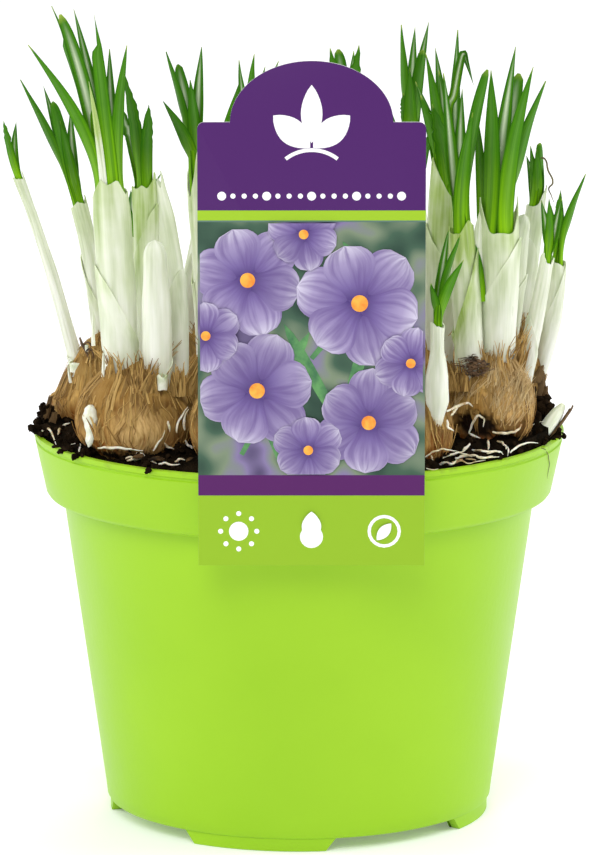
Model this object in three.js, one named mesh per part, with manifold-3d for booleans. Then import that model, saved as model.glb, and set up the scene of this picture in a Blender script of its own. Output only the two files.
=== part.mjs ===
// A pot of crocus plants in leaf: a moulded plastic pot, the compost in it, a dozen corms that sit on the
// compost, the pale sheaths and green leaves that grow from them, and a card label that hangs on the rim.
// Millimetres, +Z up. The pot's axis is the Z axis and its feet stand on Z = 0. The label faces -Y.

import * as THREE from 'three';
import { mergeVertices } from 'three/addons/utils/BufferGeometryUtils.js';
import Module from 'manifold-3d';

const wasm = await Module();
wasm.setup();

// ---- driving dimensions ----

const gap = 0.3;                    // clearance between neighbouring solids

const rimRadius = 60;               // outside of the rim's lip
const potHeight = 87.7;             // top of the lip
const rimBandFoot = 73;             // lower edge of the deep rim band
const bandFootRadius = 56.9;
const bodyTopRadius = 53.3;         // just under the rim band
const bodyFootRadius = 44;
const wall = 1.2;
const floorUnderside = 2.7;         // the feet are this tall
const floorTop = 4.2;
const potSides = 48;
const footCount = 4;
const footAngle = 48;               // degrees of the circle that each foot covers
const footTurn = -12.4;             // degrees that the front foot is turned from -Y towards -X
const footInner = 40.2;
const footOuter = 43;
const drainHoles = 4;
const drainRadius = 3.5;
const drainCircle = 28;

const soilSides = 32;
const soilLevel = 88.2;

const cardLeft = -21.7;
const cardRight = 27.1;
const cardFoot = 68.6;
const cardShoulder = 165.1;
const cardTop = 178.2;
const archHalfWidth = 17.4;
const cardThickness = 0.6;
const tongueWidth = 16;
const tongueThickness = 0.8;
const tongueDepth = 12;             // how far the tongue reaches below the lip, inside the pot

const cormHalfHeight = 10.5;
const cormSides = 14;
const cormRings = 6;
const cormRidge = 0.04;             // how much the coat's ridges vary its radius
const tuftCount = 4;
const rootedDepth = 4;              // how far a sheath stands in its corm

const sheathSides = 8;
const socketDepth = 8;              // the leaf bundle stands this deep in the sheath's mouth
const sheathWall = 0.6;
const usualSlant = 0.5;             // rise of a mouth's high side, in mouth radii

const brown = new THREE.MeshStandardMaterial({ color: 0x8a6236, roughness: 0.85, metalness: 0 });
const ivory = new THREE.MeshStandardMaterial({ color: 0xe9eedb, roughness: 0.5, metalness: 0 });
const leafGreen = new THREE.MeshStandardMaterial({ color: 0x4f9a24, roughness: 0.45, metalness: 0 });
const peat = new THREE.MeshStandardMaterial({ color: 0x1f1712, roughness: 0.95, metalness: 0 });
const limePlastic = new THREE.MeshStandardMaterial({ color: 0xa8e03a, roughness: 0.55, metalness: 0 });
const purpleCard = new THREE.MeshStandardMaterial({ color: 0x5f3a7b, roughness: 0.4, metalness: 0 });

// Each corm: its centre on the compost, its radius and the height of its centre.
const corms = [
  { at: [-36, -25, 94.5], radius: 13.5 },
  { at: [-46.5, 1, 95], radius: 10 },
  { at: [-13, -37, 94.5], radius: 10.5 },
  { at: [-17, -5, 95], radius: 11 },
  { at: [42.5, -19, 95.5], radius: 10 },
  { at: [25, -38, 94.5], radius: 10 },
  { at: [-28, 25, 95], radius: 11 },
  { at: [1, 37, 95], radius: 11 },
  { at: [29, 25, 95], radius: 10.5 },
  { at: [6, 3, 95], radius: 12 },
  { at: [28, -3, 95], radius: 9.5 },
  { at: [47.5, 1.5, 97], radius: 9.5 },
];

// Each shoot grows from one corm. base is where it leaves the corm in plan, mouth is where its leaves come
// out of the white sheath, girth lists the sheath's radius from base to mouth, and bow pushes its middle
// sideways. tips are the ends of its leaves, and a fourth number makes a tip blunt. over holds leaves that
// bend over: a point on the way up, the top and the hanging end. whorl gives leaves that stand evenly round
// the mouth instead. slant sets how steeply the mouth is cut. A closed shoot is a pointed sheath with no
// leaves out yet.
const shoots = [
  { corm: 2, base: [-49.5, 1], mouth: [-62.8, 2, 144], girth: [1.8, 1.5, 1.25], blade: 2.2,
    tips: [[-66, -1, 157.5], [-63.5, 5, 156.5]] },
  { corm: 2, base: [-44, 4], mouth: [-49.5, 6, 137], girth: [2, 2.1, 1.7], bow: [1, 0], blade: 2.8,
    tips: [[-62.5, 4, 166], [-57.5, 9, 164], [-55, 1, 161.5, 1], [-51.5, 12, 159]] },
  { corm: 1, base: [-39, -26], mouth: [-41.5, -25, 145], girth: [3.3, 3.7, 3.7], blade: 3.5,
    tips: [[-59, -31, 178], [-54.5, -23, 185.5], [-52, -29, 184.5, 1], [-49.5, -18, 184.5],
      [-45, -29, 184.5], [-41.5, -21, 176], [-37.5, -27, 177.5], [-48.5, -14, 174]] },
  { corm: 1, base: [-33, -19], mouth: [-34.3, -15.5, 144], girth: [2.3, 2.6, 2.6], blade: 3,
    tips: [[-33, -20, 163.5, 1], [-34, -10, 160], [-40, -9, 162], [-38.5, -15, 169.5]] },
  { corm: 1, base: [-31, -30], mouth: [-31.5, -31, 130], girth: [2.6, 3.1, 3.1, 2.3], closed: true },
  { corm: 1, base: [-27, -21], mouth: [-29.6, -12.5, 141], girth: [2, 2.3, 2, 1.2], bow: [2, 0],
    closed: true },
  { corm: 4, base: [-20.5, -7], mouth: [-23, -8, 147.5], girth: [1.9, 2, 1.9], blade: 3,
    tips: [[-29.5, -10, 174], [-27, -4, 170.5, 1], [-21.5, -9, 175], [-30, -15, 163.5]] },
  { corm: 10, base: [1, 1], mouth: [-9, 4, 146], girth: [2.2, 2.3, 2.1], blade: 3,
    tips: [[-13.5, 8, 170], [-10, 3, 172], [-4.5, 10, 169.5], [-7, -2, 160]] },
  { corm: 10, base: [9, 7], mouth: [10.5, 12, 146], girth: [2.4, 2.6, 2.4], blade: 3.4,
    tips: [[7, 10, 172.5], [9, 16, 171.5, 1], [12.5, 17, 171], [13.6, 11, 173]] },
  { corm: 9, base: [27, 22], mouth: [25.5, 16, 148], girth: [2.3, 2.4, 2.2], blade: 3,
    tips: [[23, 12, 177.5], [26.3, 17, 176.5], [29.5, 21, 177], [28, 10, 172, 1]] },
  { corm: 11, base: [31, -4], mouth: [32.5, -6, 141], girth: [2.7, 3.3, 3.5], slant: 1.3, blade: 3.4,
    tips: [[28, -12, 174], [30.3, -6, 174.5], [35.5, -2, 178], [26, -3, 166.5], [29.5, -16, 163]] },
  { corm: 5, base: [38, -22.5], mouth: [37, -22, 136], girth: [2.6, 2.9, 2.8], blade: 3.2,
    tips: [[41.3, -26, 172, 1], [31.7, -20, 170.5], [38, -30, 163]],
    over: [[[32.8, -18, 161], [35.7, -17, 174.5], [38.4, -14.5, 165.5]]] },
  { corm: 5, base: [44.5, -19.5], mouth: [44.3, -20, 135.5], girth: [3, 3.4, 3.5], blade: 3.6,
    tips: [[47.4, -25, 177], [48.5, -16, 170, 1], [51, -19, 172, 1], [54, -23, 169], [42.6, -17, 171.5]] },
  { corm: 12, base: [45.5, -4], mouth: [50.5, -9, 139], girth: [2, 2.2, 2, 1], closed: true },
  { corm: 12, base: [46, 5], mouth: [53.3, 7, 131.5], girth: [2, 2.2, 2], blade: 3.2,
    tips: [[52, 4, 151], [54.5, 8, 151.5, 1], [51, 12, 148]] },
  { corm: 12, base: [51, -3], mouth: [55.3, -11, 128.5], girth: [1.9, 1.8, 1.5], bow: [0, 2], blade: 2.2,
    tips: [[55.5, -14, 142], [54, -8, 140.5], [58.5, -12, 141.5]] },
  { corm: 12, base: [53, 4], mouth: [58.3, 2, 125], girth: [1.7, 1.7, 1.5], blade: 2.4,
    tips: [[64.3, -2, 145.5], [59, 5, 141], [56.5, 0, 138]] },
  { corm: 6, base: [30, -44], mouth: [30.2, -44.5, 118.5], girth: [1.1, 2.7, 1.9, 1.3, 1.3], blade: 2.4,
    tips: [[32.6, -42, 139.5], [35, -46, 138.5], [35.6, -49, 133.5], [28.5, -47, 128]] },
  { corm: 7, base: [-27, 22], mouth: [-20.5, 21, 138], girth: [2, 2.1, 1.9], blade: 2.8,
    tips: [[-13, 16, 165], [-22, 26, 150], [-17, 27, 151], [-20, 15, 148]] },
  { corm: 7, base: [-31, 30], mouth: [-37, 36, 124], girth: [2.1, 2.2, 2], blade: 2.8,
    whorl: { count: 4, spread: 4.5, rise: 15 } },
  { corm: 8, base: [1, 38], mouth: [1, 43, 131], girth: [2.6, 2.8, 2.7], blade: 3.2,
    whorl: { count: 5, spread: 9, rise: 22 } },
  { corm: 9, base: [31, 29], mouth: [27, 33, 133], girth: [2.3, 2.4, 2.2], blade: 3,
    tips: [[21, 26, 156], [31, 38, 150], [24, 42, 147], [30, 27, 151]] },
  { corm: 3, base: [-13, -36], mouth: [-10, -38, 127], girth: [2.3, 2.5, 2.3], blade: 3,
    whorl: { count: 4, spread: 7, rise: 22 } },
];

// ---- solids from geometry, and back ----

function toSolid(geometry) {
  geometry.deleteAttribute('normal');
  geometry.deleteAttribute('uv');
  const merged = mergeVertices(geometry, 1e-4);
  return new wasm.Manifold(new wasm.Mesh({
    numProp: 3,
    vertProperties: new Float32Array(merged.attributes.position.array),
    triVerts: new Uint32Array(merged.index.array),
  }));
}

function toMesh(name, solid, material) {
  const cut = solid.getMesh();
  const geometry = new THREE.BufferGeometry();
  geometry.setAttribute('position', new THREE.BufferAttribute(cut.vertProperties, 3));
  geometry.setIndex(new THREE.BufferAttribute(cut.triVerts, 1));
  geometry.computeVertexNormals();
  const mesh = new THREE.Mesh(geometry, material);
  mesh.name = name;
  return mesh;
}

function largestBody(solid) {
  const bodies = solid.decompose();
  bodies.sort((a, b) => b.volume() - a.volume());
  return bodies[0];
}

// A closed skin through rings of points. Every ring runs counter-clockwise seen from the ring after it.
function loft(rings) {
  const sides = rings[0].length;
  const points = [];
  for (const ring of rings) {
    for (const point of ring) points.push(point.x, point.y, point.z);
  }
  const faces = [];
  for (let i = 0; i < rings.length - 1; i += 1) {
    for (let j = 0; j < sides; j += 1) {
      const a = i * sides + j;
      const b = i * sides + (j + 1) % sides;
      faces.push(a, b, b + sides, a, b + sides, a + sides);
    }
  }
  const last = (rings.length - 1) * sides;
  for (let j = 1; j < sides - 1; j += 1) {
    faces.push(0, j + 1, j);
    faces.push(last, last + j, last + j + 1);
  }
  const geometry = new THREE.BufferGeometry();
  geometry.setAttribute('position', new THREE.Float32BufferAttribute(points, 3));
  geometry.setIndex(faces);
  return toSolid(geometry);
}

function randomFrom(seed) {
  let state = seed;
  return () => {
    state = (state * 16807) % 2147483647;
    return state / 2147483647;
  };
}

function ease(value, from, to) {
  const t = THREE.MathUtils.clamp((value - from) / (to - from), 0, 1);
  return t * t * (3 - 2 * t);
}

function sample(values, t) {
  const place = t * (values.length - 1);
  const index = Math.min(Math.floor(place), values.length - 2);
  return THREE.MathUtils.lerp(values[index], values[index + 1], place - index);
}

// ---- pot ----

function potSolid() {
  const lipCorner = 0.4;
  const profile = [
    [0, floorUnderside],
    [41.4, floorUnderside],
    [43.3, 3.7],
    [bodyFootRadius, 6.2],
    [bodyTopRadius, rimBandFoot],
    [bandFootRadius - 0.7, rimBandFoot],
    [bandFootRadius, rimBandFoot + 0.9],
    [rimRadius, potHeight - lipCorner],
    [rimRadius - lipCorner, potHeight],
    [rimRadius - wall, potHeight],
    [rimRadius - wall - lipCorner, potHeight - lipCorner],
    [bandFootRadius - wall, rimBandFoot + wall],
    [bodyTopRadius - wall, rimBandFoot + wall],
    [bodyFootRadius - wall - 0.6, floorTop],
    [0, floorTop],
  ];
  const outline = profile.map(([radius, height]) => new THREE.Vector2(radius, height));
  const lathe = new THREE.LatheGeometry(outline, potSides);
  lathe.rotateX(Math.PI / 2);
  let pot = toSolid(lathe);
  for (let i = 0; i < footCount; i += 1) pot = pot.add(footSolid(i));
  for (let i = 0; i < drainHoles; i += 1) {
    const angle = (i + 0.5) / drainHoles * 2 * Math.PI;
    const bore = new THREE.CylinderGeometry(drainRadius, drainRadius, 4 * floorTop, 8);
    bore.rotateX(Math.PI / 2);
    bore.translate(drainCircle * Math.cos(angle), drainCircle * Math.sin(angle), floorTop);
    pot = pot.subtract(toSolid(bore));
  }
  return pot;
}

// One foot: a stretch of low wall under the floor's edge, with round ends.
function footSolid(index) {
  const centre = THREE.MathUtils.degToRad(-90 + footTurn + index * 360 / footCount);
  const half = THREE.MathUtils.degToRad(footAngle / 2);
  const middle = (footInner + footOuter) / 2;
  const endRadius = (footOuter - footInner) / 2;
  const shape = new THREE.Shape();
  shape.absarc(0, 0, footOuter, centre - half, centre + half, false);
  const left = new THREE.Vector2(middle * Math.cos(centre + half), middle * Math.sin(centre + half));
  shape.absarc(left.x, left.y, endRadius, centre + half, centre + half + Math.PI, false);
  shape.absarc(0, 0, footInner, centre + half, centre - half, true);
  const right = new THREE.Vector2(middle * Math.cos(centre - half), middle * Math.sin(centre - half));
  shape.absarc(right.x, right.y, endRadius, centre - half - Math.PI, centre - half, false);
  const foot = new THREE.ExtrudeGeometry(shape, {
    depth: floorTop - gap,
    bevelEnabled: false,
    curveSegments: 5,
  });
  return toSolid(foot);
}

// ---- compost ----

// The compost's surface: heaped against the left and right of the rim and at the front right, with clods,
// and a little lower all round where it meets the rim.
function soilHeight(x, y) {
  const sides = 3.6 * ease(Math.abs(x), 42, 56) * ease(y, -40, -8);
  const right = 1.8 * ease(x, 22, 36) * ease(-y, 0, 25);
  const hummocks = 0.8 * Math.sin(0.31 * x + 1.3) * Math.sin(0.27 * y + 0.4);
  const clods = 0.5 * Math.sin(0.62 * x - 0.5 * y);
  const edge = 1.8 * ease(Math.hypot(x, y), 49, 57);
  return soilLevel + sides + right + hummocks + clods - edge;
}

function soilSolid(hollows) {
  const ring = (radius, height) => {
    const points = [];
    for (let j = 0; j < soilSides; j += 1) {
      const angle = j / soilSides * 2 * Math.PI;
      const x = radius * Math.cos(angle);
      const y = radius * Math.sin(angle);
      points.push(new THREE.Vector3(x, y, height === undefined ? soilHeight(x, y) : height));
    }
    return points;
  };
  const clear = wall + gap + 0.1;
  const step = rimBandFoot + wall + gap;
  const rings = [
    ring(bodyFootRadius - clear - 0.7, floorTop + gap),
    ring(bodyTopRadius - clear, step),
    ring(bandFootRadius - clear, step + 0.1),
    ring(rimRadius - clear - 0.6, potHeight - 2),
  ];
  for (const radius of [57.4, 51, 42, 30, 15]) rings.push(ring(radius));
  let soil = loft(rings);
  for (const hollow of hollows) soil = soil.subtract(hollow);
  return largestBody(soil);
}

// ---- corms ----

// A flattened bulb with the uneven upright ridges of its fibrous coat. grow swells it for its own hollow.
function cormBody(corm, seed, sides, rings, ridge, grow) {
  const random = randomFrom(seed);
  const swell = [];
  for (let j = 0; j < sides; j += 1) swell.push(1 + ridge * (2 * random() - 1));
  const skins = [];
  for (let i = 0; i <= rings; i += 1) {
    const s = 0.04 + 0.92 * i / rings;
    const skin = [];
    for (let j = 0; j < sides; j += 1) {
      const angle = j / sides * 2 * Math.PI;
      const radius = (corm.radius * Math.sin(Math.PI * s) ** 0.8) * swell[j] + grow;
      const z = -(cormHalfHeight + grow) * Math.cos(Math.PI * s) + 3 * ease(s, 0.75, 1);
      skin.push(new THREE.Vector3(
        corm.at[0] + radius * Math.cos(angle),
        corm.at[1] + radius * Math.sin(angle),
        corm.at[2] + z,
      ));
    }
    skins.push(skin);
  }
  return loft(skins);
}

function cormTop(corm, x, y) {
  const reach = Math.hypot(x - corm.at[0], y - corm.at[1]) / corm.radius;
  return corm.at[2] + cormHalfHeight * Math.sqrt(Math.max(0.05, 1 - reach * reach));
}

// Ragged points of the coat that stand up round the shoots.
function tufts(corm, seed) {
  const random = randomFrom(seed + 500);
  const parts = [];
  for (let i = 0; i < tuftCount; i += 1) {
    const angle = (i + 0.6 * random()) / tuftCount * 2 * Math.PI;
    const reach = corm.radius * (0.42 + 0.3 * random());
    const height = 5 + 5 * random();
    const width = 1.4 + 1.2 * random();
    const x = corm.at[0] + reach * Math.cos(angle);
    const y = corm.at[1] + reach * Math.sin(angle);
    const tuft = new THREE.ConeGeometry(width, height + 4, 4);
    tuft.rotateX(Math.PI / 2);
    tuft.scale(0.45, 1, 1);
    tuft.rotateY(0.3);
    tuft.rotateZ(angle);
    tuft.translate(x, y, cormTop(corm, x, y) + height / 2 - 2);
    parts.push(toSolid(tuft));
  }
  return parts;
}

// ---- shoots ----

function sheathCurve(shoot) {
  const corm = corms[shoot.corm - 1];
  const foot = cormTop(corm, shoot.base[0], shoot.base[1]) - rootedDepth;
  const base = new THREE.Vector3(shoot.base[0], shoot.base[1], foot);
  const mouth = new THREE.Vector3(...shoot.mouth);
  const bow = shoot.bow || [0, 0];
  const middle = base.clone().lerp(mouth, 0.5);
  middle.x += bow[0] + 0.12 * (base.x - mouth.x);
  middle.y += bow[1] + 0.12 * (base.y - mouth.y);
  return new THREE.QuadraticBezierCurve3(base, middle, mouth);
}

function roundRing(centre, along, radius, sides, lift) {
  const side = new THREE.Vector3(1, 0, 0).addScaledVector(along, -along.x).normalize();
  const front = new THREE.Vector3().crossVectors(along, side);
  const points = [];
  for (let j = 0; j < sides; j += 1) {
    const angle = j / sides * 2 * Math.PI;
    const point = centre.clone();
    point.addScaledVector(side, radius * Math.cos(angle));
    point.addScaledVector(front, radius * Math.sin(angle));
    point.addScaledVector(along, lift * Math.cos(angle - Math.PI));
    points.push(point);
  }
  return points;
}

// How far the high side of a sheath's slanting mouth stands above the mouth's centre.
function mouthLift(shoot) {
  return (shoot.slant || usualSlant) * sample(shoot.girth, 1);
}

// The sheath: a soft tube that opens in a slanting mouth, or runs to a blunt point while it is closed.
function sheathSolid(shoot, grow) {
  const curve = sheathCurve(shoot);
  const steps = 3;
  const rings = [];
  for (let i = 0; i <= steps; i += 1) {
    const t = i / steps;
    const lift = i === steps && !shoot.closed ? mouthLift(shoot) : 0;
    const radius = sample(shoot.girth, t) + grow;
    rings.push(roundRing(curve.getPoint(t), curve.getTangent(t), radius, sheathSides, lift));
  }
  const end = curve.getPoint(1);
  const along = curve.getTangent(1);
  const up = (height) => end.clone().addScaledVector(along, height);
  if (shoot.closed) {
    const tip = sample(shoot.girth, 1);
    rings.push(roundRing(up(tip), along, 0.7 * tip + grow, sheathSides, 0));
    rings.push(roundRing(up(2 * tip), along, 0.25 * tip + grow, sheathSides, 0));
  } else if (grow === 0) {
    const bore = sample(shoot.girth, 1) - sheathWall;
    rings.push(roundRing(end, along, bore, sheathSides, mouthLift(shoot)));
    rings.push(roundRing(up(-socketDepth), along, 0.9 * bore, sheathSides, 0));
  }
  return loft(rings);
}

// A keeled leaf: a three-cornered section with its ridge on the outside, swept along a curve. stations are
// the places along the curve where its width is set.
function leafSolid(curve, stations, width, face, blunt, rootWidth) {
  const keel = 0.95;
  const profile = blunt ? [0, 0.95, 1, 0.85, 0.4] : [0, 0.95, 0.95, 0.5, 0.12];
  const rings = [];
  stations.forEach((t, i) => {
    const centre = curve.getPoint(t);
    const along = curve.getTangent(t);
    const out = face.clone().addScaledVector(along, -along.dot(face)).normalize();
    const across = new THREE.Vector3().crossVectors(along, out);
    const half = Math.max(0.3, 0.5 * (i === 0 ? rootWidth : width * profile[i]));
    const depth = i === stations.length - 1 ? 0.5 : keel;
    rings.push([
      centre.clone().addScaledVector(out, 0.65 * depth),
      centre.clone().addScaledVector(across, half).addScaledVector(out, -0.3 * depth),
      centre.clone().addScaledVector(across, -half).addScaledVector(out, -0.3 * depth),
    ]);
  });
  return loft(rings);
}

function leafEnds(shoot, seed) {
  if (!shoot.whorl) return shoot.tips;
  const random = randomFrom(seed + 900);
  const { count, spread, rise } = shoot.whorl;
  const ends = [];
  for (let i = 0; i < count; i += 1) {
    const angle = (i + 0.5 * random()) / count * 2 * Math.PI;
    const reach = spread * (0.7 + 0.5 * random());
    ends.push([
      shoot.mouth[0] + reach * Math.cos(angle),
      shoot.mouth[1] + reach * Math.sin(angle),
      shoot.mouth[2] + rise * (0.8 + 0.35 * random()),
    ]);
  }
  return ends;
}

function leavesSolid(shoot, seed) {
  const axis = sheathCurve(shoot);
  const mouth = axis.getPoint(1);
  const along = axis.getTangent(1);
  const bore = sample(shoot.girth, 1) - sheathWall - gap;
  const lip = mouthLift(shoot);
  const at = (height) => mouth.clone().addScaledVector(along, height);
  const parts = [loft([
    roundRing(at(-socketDepth + gap), along, 0.85 * bore, 5, 0),
    roundRing(at(0), along, 0.95 * bore, 5, 0),
    roundRing(at(lip + 1.6), along, bore, 5, 0),
  ])];
  const outward = new THREE.Vector3(mouth.x, mouth.y, 0).normalize();
  const ends = leafEnds(shoot, seed);
  ends.forEach(([x, y, z, blunt], i) => {
    const tip = new THREE.Vector3(x, y, z);
    const lean = tip.clone().sub(mouth).addScaledVector(along, -along.dot(tip.clone().sub(mouth)));
    const root = at(lip - 0.4).addScaledVector(lean.clone().normalize(), 0.5 * bore);
    const elbow = root.clone().lerp(tip, 0.4).addScaledVector(along, 0.25 * tip.distanceTo(root));
    const face = outward.clone().addScaledVector(lean.normalize(), 0.6);
    face.applyAxisAngle(along, 0.45 * ((i % 3) - 1));
    const curve = new THREE.QuadraticBezierCurve3(root, elbow, tip);
    parts.push(leafSolid(curve, [0, 0.25, 0.6, 0.86, 1], shoot.blade, face, blunt, bore));
  });
  for (const route of shoot.over || []) {
    const points = [at(lip - 0.4), ...route.map((point) => new THREE.Vector3(...point))];
    const bent = new THREE.CatmullRomCurve3(points);
    parts.push(leafSolid(bent, [0, 0.34, 0.6, 0.7, 1], shoot.blade, outward.clone(), 1, bore));
  }
  return largestBody(wasm.Manifold.union(parts));
}

// ---- label ----

function cardShape() {
  const centre = (cardLeft + cardRight) / 2;
  const corner = 1.5;
  const shape = new THREE.Shape();
  shape.moveTo(cardLeft, cardFoot);
  shape.lineTo(cardRight, cardFoot);
  shape.lineTo(cardRight, cardShoulder - corner);
  shape.absarc(cardRight - corner, cardShoulder - corner, corner, 0, Math.PI / 2, false);
  shape.lineTo(centre + archHalfWidth, cardShoulder);
  shape.absellipse(centre, cardShoulder, archHalfWidth, cardTop - cardShoulder, 0, Math.PI, false, 0);
  shape.lineTo(cardLeft + corner, cardShoulder);
  shape.absarc(cardLeft + corner, cardShoulder - corner, corner, Math.PI / 2, Math.PI, false);
  shape.closePath();
  return shape;
}

// The card with the tongue behind it that hooks over the lip and stands in the compost inside the rim.
function labelSolid(grow) {
  const back = -rimRadius - gap;
  const seat = potHeight + gap;
  const card = new THREE.ExtrudeGeometry(cardShape(), {
    depth: cardThickness,
    bevelEnabled: false,
    curveSegments: 8,
  });
  card.rotateX(Math.PI / 2);
  card.translate(0, back, 0);
  const inside = -rimRadius + wall + 1.8;
  const drop = seat - tongueDepth;
  const slope = 2.5;
  const hook = new THREE.Shape();
  hook.moveTo(back - 0.3, seat - grow);
  hook.lineTo(inside - grow, seat - grow);
  hook.lineTo(inside + slope - grow, drop - grow);
  hook.lineTo(inside + slope + tongueThickness + grow, drop - grow);
  hook.lineTo(inside + tongueThickness + grow, seat + tongueThickness + grow);
  hook.lineTo(back - 0.3, seat + tongueThickness + grow);
  hook.closePath();
  const tongue = new THREE.ExtrudeGeometry(hook, {
    depth: tongueWidth + 2 * grow,
    bevelEnabled: false,
  });
  tongue.rotateX(Math.PI / 2);
  tongue.rotateZ(Math.PI / 2);
  tongue.translate((cardLeft + cardRight) / 2 - tongueWidth / 2 - grow, 0, 0);
  if (grow > 0) return toSolid(tongue);
  return toSolid(card).add(toSolid(tongue));
}

// ---- a loose old shoot that leans from the compost over the rim ----

const stub = {
  from: new THREE.Vector3(53.8, -13, 86.5),
  to: new THREE.Vector3(59.6, -9.5, 93.5),
  girth: [1.9, 1.6, 1.3, 0.6],
};

function stubSolid(grow) {
  const along = stub.to.clone().sub(stub.from).normalize();
  const rings = stub.girth.map((radius, i) => {
    const centre = stub.from.clone().lerp(stub.to, i / (stub.girth.length - 1));
    return roundRing(centre, along, radius + grow, sheathSides, 0);
  });
  return loft(rings);
}

// ---- the whole pot ----

const potted = new THREE.Group();

const hollows = corms.map((corm) => cormBody(corm, 0, 10, 4, 0, 0.1 * corm.radius + gap));
hollows.push(labelSolid(gap), stubSolid(gap));

potted.add(toMesh('pot', potSolid(), limePlastic));
potted.add(toMesh('soil', soilSolid(hollows), peat));
potted.add(toMesh('label', labelSolid(0), purpleCard));
potted.add(toMesh('old_shoot', stubSolid(0), ivory));

const numbered = (word, index) => `${word}_${String(index + 1).padStart(2, '0')}`;

corms.forEach((corm, index) => {
  const seed = 11 + index;
  const body = cormBody(corm, seed, cormSides, cormRings, cormRidge, 0);
  let solid = wasm.Manifold.union([body, ...tufts(corm, seed)]);
  for (const shoot of shoots) {
    if (shoot.corm === index + 1) solid = solid.subtract(sheathSolid(shoot, gap));
  }
  potted.add(toMesh(numbered('corm', index), largestBody(solid), brown));
});

shoots.forEach((shoot, index) => {
  potted.add(toMesh(numbered('sheath', index), sheathSolid(shoot, 0), ivory));
  if (shoot.closed) return;
  potted.add(toMesh(numbered('leaves', index), leavesSolid(shoot, 31 + index), leafGreen));
});

export default potted;
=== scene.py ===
# Dresses the potted crocus: a moulded pot, compost with crumbs and roots, corms in their fibrous coats,
# papery sheaths, keeled leaves and a printed plant label. Every size is in millimetres until settle().
import bpy
import math
from mathutils import Matrix, Vector, noise


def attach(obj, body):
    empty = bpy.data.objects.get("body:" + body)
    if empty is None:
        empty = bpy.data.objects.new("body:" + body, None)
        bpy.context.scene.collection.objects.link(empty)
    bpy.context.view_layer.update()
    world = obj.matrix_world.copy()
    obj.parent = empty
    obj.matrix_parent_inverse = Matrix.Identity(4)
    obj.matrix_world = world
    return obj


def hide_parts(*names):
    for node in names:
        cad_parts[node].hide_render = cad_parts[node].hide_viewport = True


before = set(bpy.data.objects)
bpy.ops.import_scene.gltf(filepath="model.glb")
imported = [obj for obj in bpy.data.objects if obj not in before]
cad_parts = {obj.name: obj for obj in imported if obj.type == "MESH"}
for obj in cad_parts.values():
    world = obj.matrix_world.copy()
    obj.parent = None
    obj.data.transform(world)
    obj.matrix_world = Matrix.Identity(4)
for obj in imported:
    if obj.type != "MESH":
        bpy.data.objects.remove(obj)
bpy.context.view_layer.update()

mm = 0.001
turn = 2 * math.pi
up = Vector((0, 0, 1))


# ---- small tools ----

def clearSelection():
    if bpy.context.object and bpy.context.object.mode != "OBJECT":
        bpy.ops.object.mode_set(mode="OBJECT")
    bpy.ops.object.select_all(action="DESELECT")


def makeActive(piece):
    clearSelection()
    piece.select_set(True)
    bpy.context.view_layer.objects.active = piece


def added(add, name, **settings):
    # adds a primitive with one of Blender's own operators and names it
    clearSelection()
    add(**settings)
    piece = bpy.context.object
    piece.name = name
    return piece


def discard(*spares):
    for spare in spares:
        bpy.data.objects.remove(spare)


def applyPlace(piece):
    makeActive(piece)
    bpy.ops.object.transform_apply(location=True, rotation=True, scale=True)


def modify(piece, kind, **settings):
    makeActive(piece)
    modifier = piece.modifiers.new(kind.title(), kind)
    for key, value in settings.items():
        setattr(modifier, key, value)
    bpy.ops.object.modifier_apply(modifier=modifier.name)


def selectParts(piece, wanted, kind="VERT"):
    # picks vertices, edges or faces by a test on them, and stays in edit mode
    makeActive(piece)
    bpy.ops.object.mode_set(mode="EDIT")
    bpy.ops.mesh.select_mode(type=kind)
    bpy.ops.mesh.select_all(action="DESELECT")
    bpy.ops.object.mode_set(mode="OBJECT")
    parts = {"VERT": piece.data.vertices, "EDGE": piece.data.edges, "FACE": piece.data.polygons}[kind]
    for part in parts:
        part.select = bool(wanted(part))
    bpy.ops.object.mode_set(mode="EDIT")


def edited(piece, operator, wanted=lambda part: True, kind="VERT", **settings):
    # runs one edit operator on the parts that pass the test
    selectParts(piece, wanted, kind)
    operator(**settings)
    bpy.ops.object.mode_set(mode="OBJECT")


def mergeDoubles(piece, reach=0.002):
    edited(piece, bpy.ops.mesh.remove_doubles, threshold=reach)


def facesOutward(piece):
    edited(piece, bpy.ops.mesh.normals_make_consistent, kind="FACE", inside=False)


def joined(name, parts):
    makeActive(parts[0])
    for part in parts:
        part.select_set(True)
    if len(parts) > 1:
        bpy.ops.object.join()
    parts[0].name = name
    parts[0].data.name = name
    return parts[0]


def settle(piece, finish, slotName, *replaced, smooth=40):
    # brings a finished piece from millimetres into the frame's metres and hands it to the frame
    piece.scale = (mm, mm, mm)
    applyPlace(piece)
    finishes = finish if isinstance(finish, tuple) else (finish,)
    if tuple(piece.data.materials) != finishes:
        piece.data.materials.clear()
        for layer in finishes:
            piece.data.materials.append(layer)
    bpy.ops.object.shade_smooth_by_angle(angle=math.radians(smooth))
    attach(piece, "root")
    if replaced:
        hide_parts(*replaced)


def settleSheets(name, sheets, thickness, finish, slotName, *replaced, offset=0, smooth=50):
    # joins thin sheets, gives them their thickness and settles them; a second finish goes on the inner side
    piece = joined(name, sheets)
    layers = len(finish) if isinstance(finish, tuple) else 1
    if layers > 1:
        for layer in finish:
            piece.data.materials.append(layer)
    modify(piece, "SOLIDIFY", thickness=thickness, offset=offset, material_offset=layers - 1)
    settle(piece, finish, slotName, *replaced, smooth=smooth)


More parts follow.
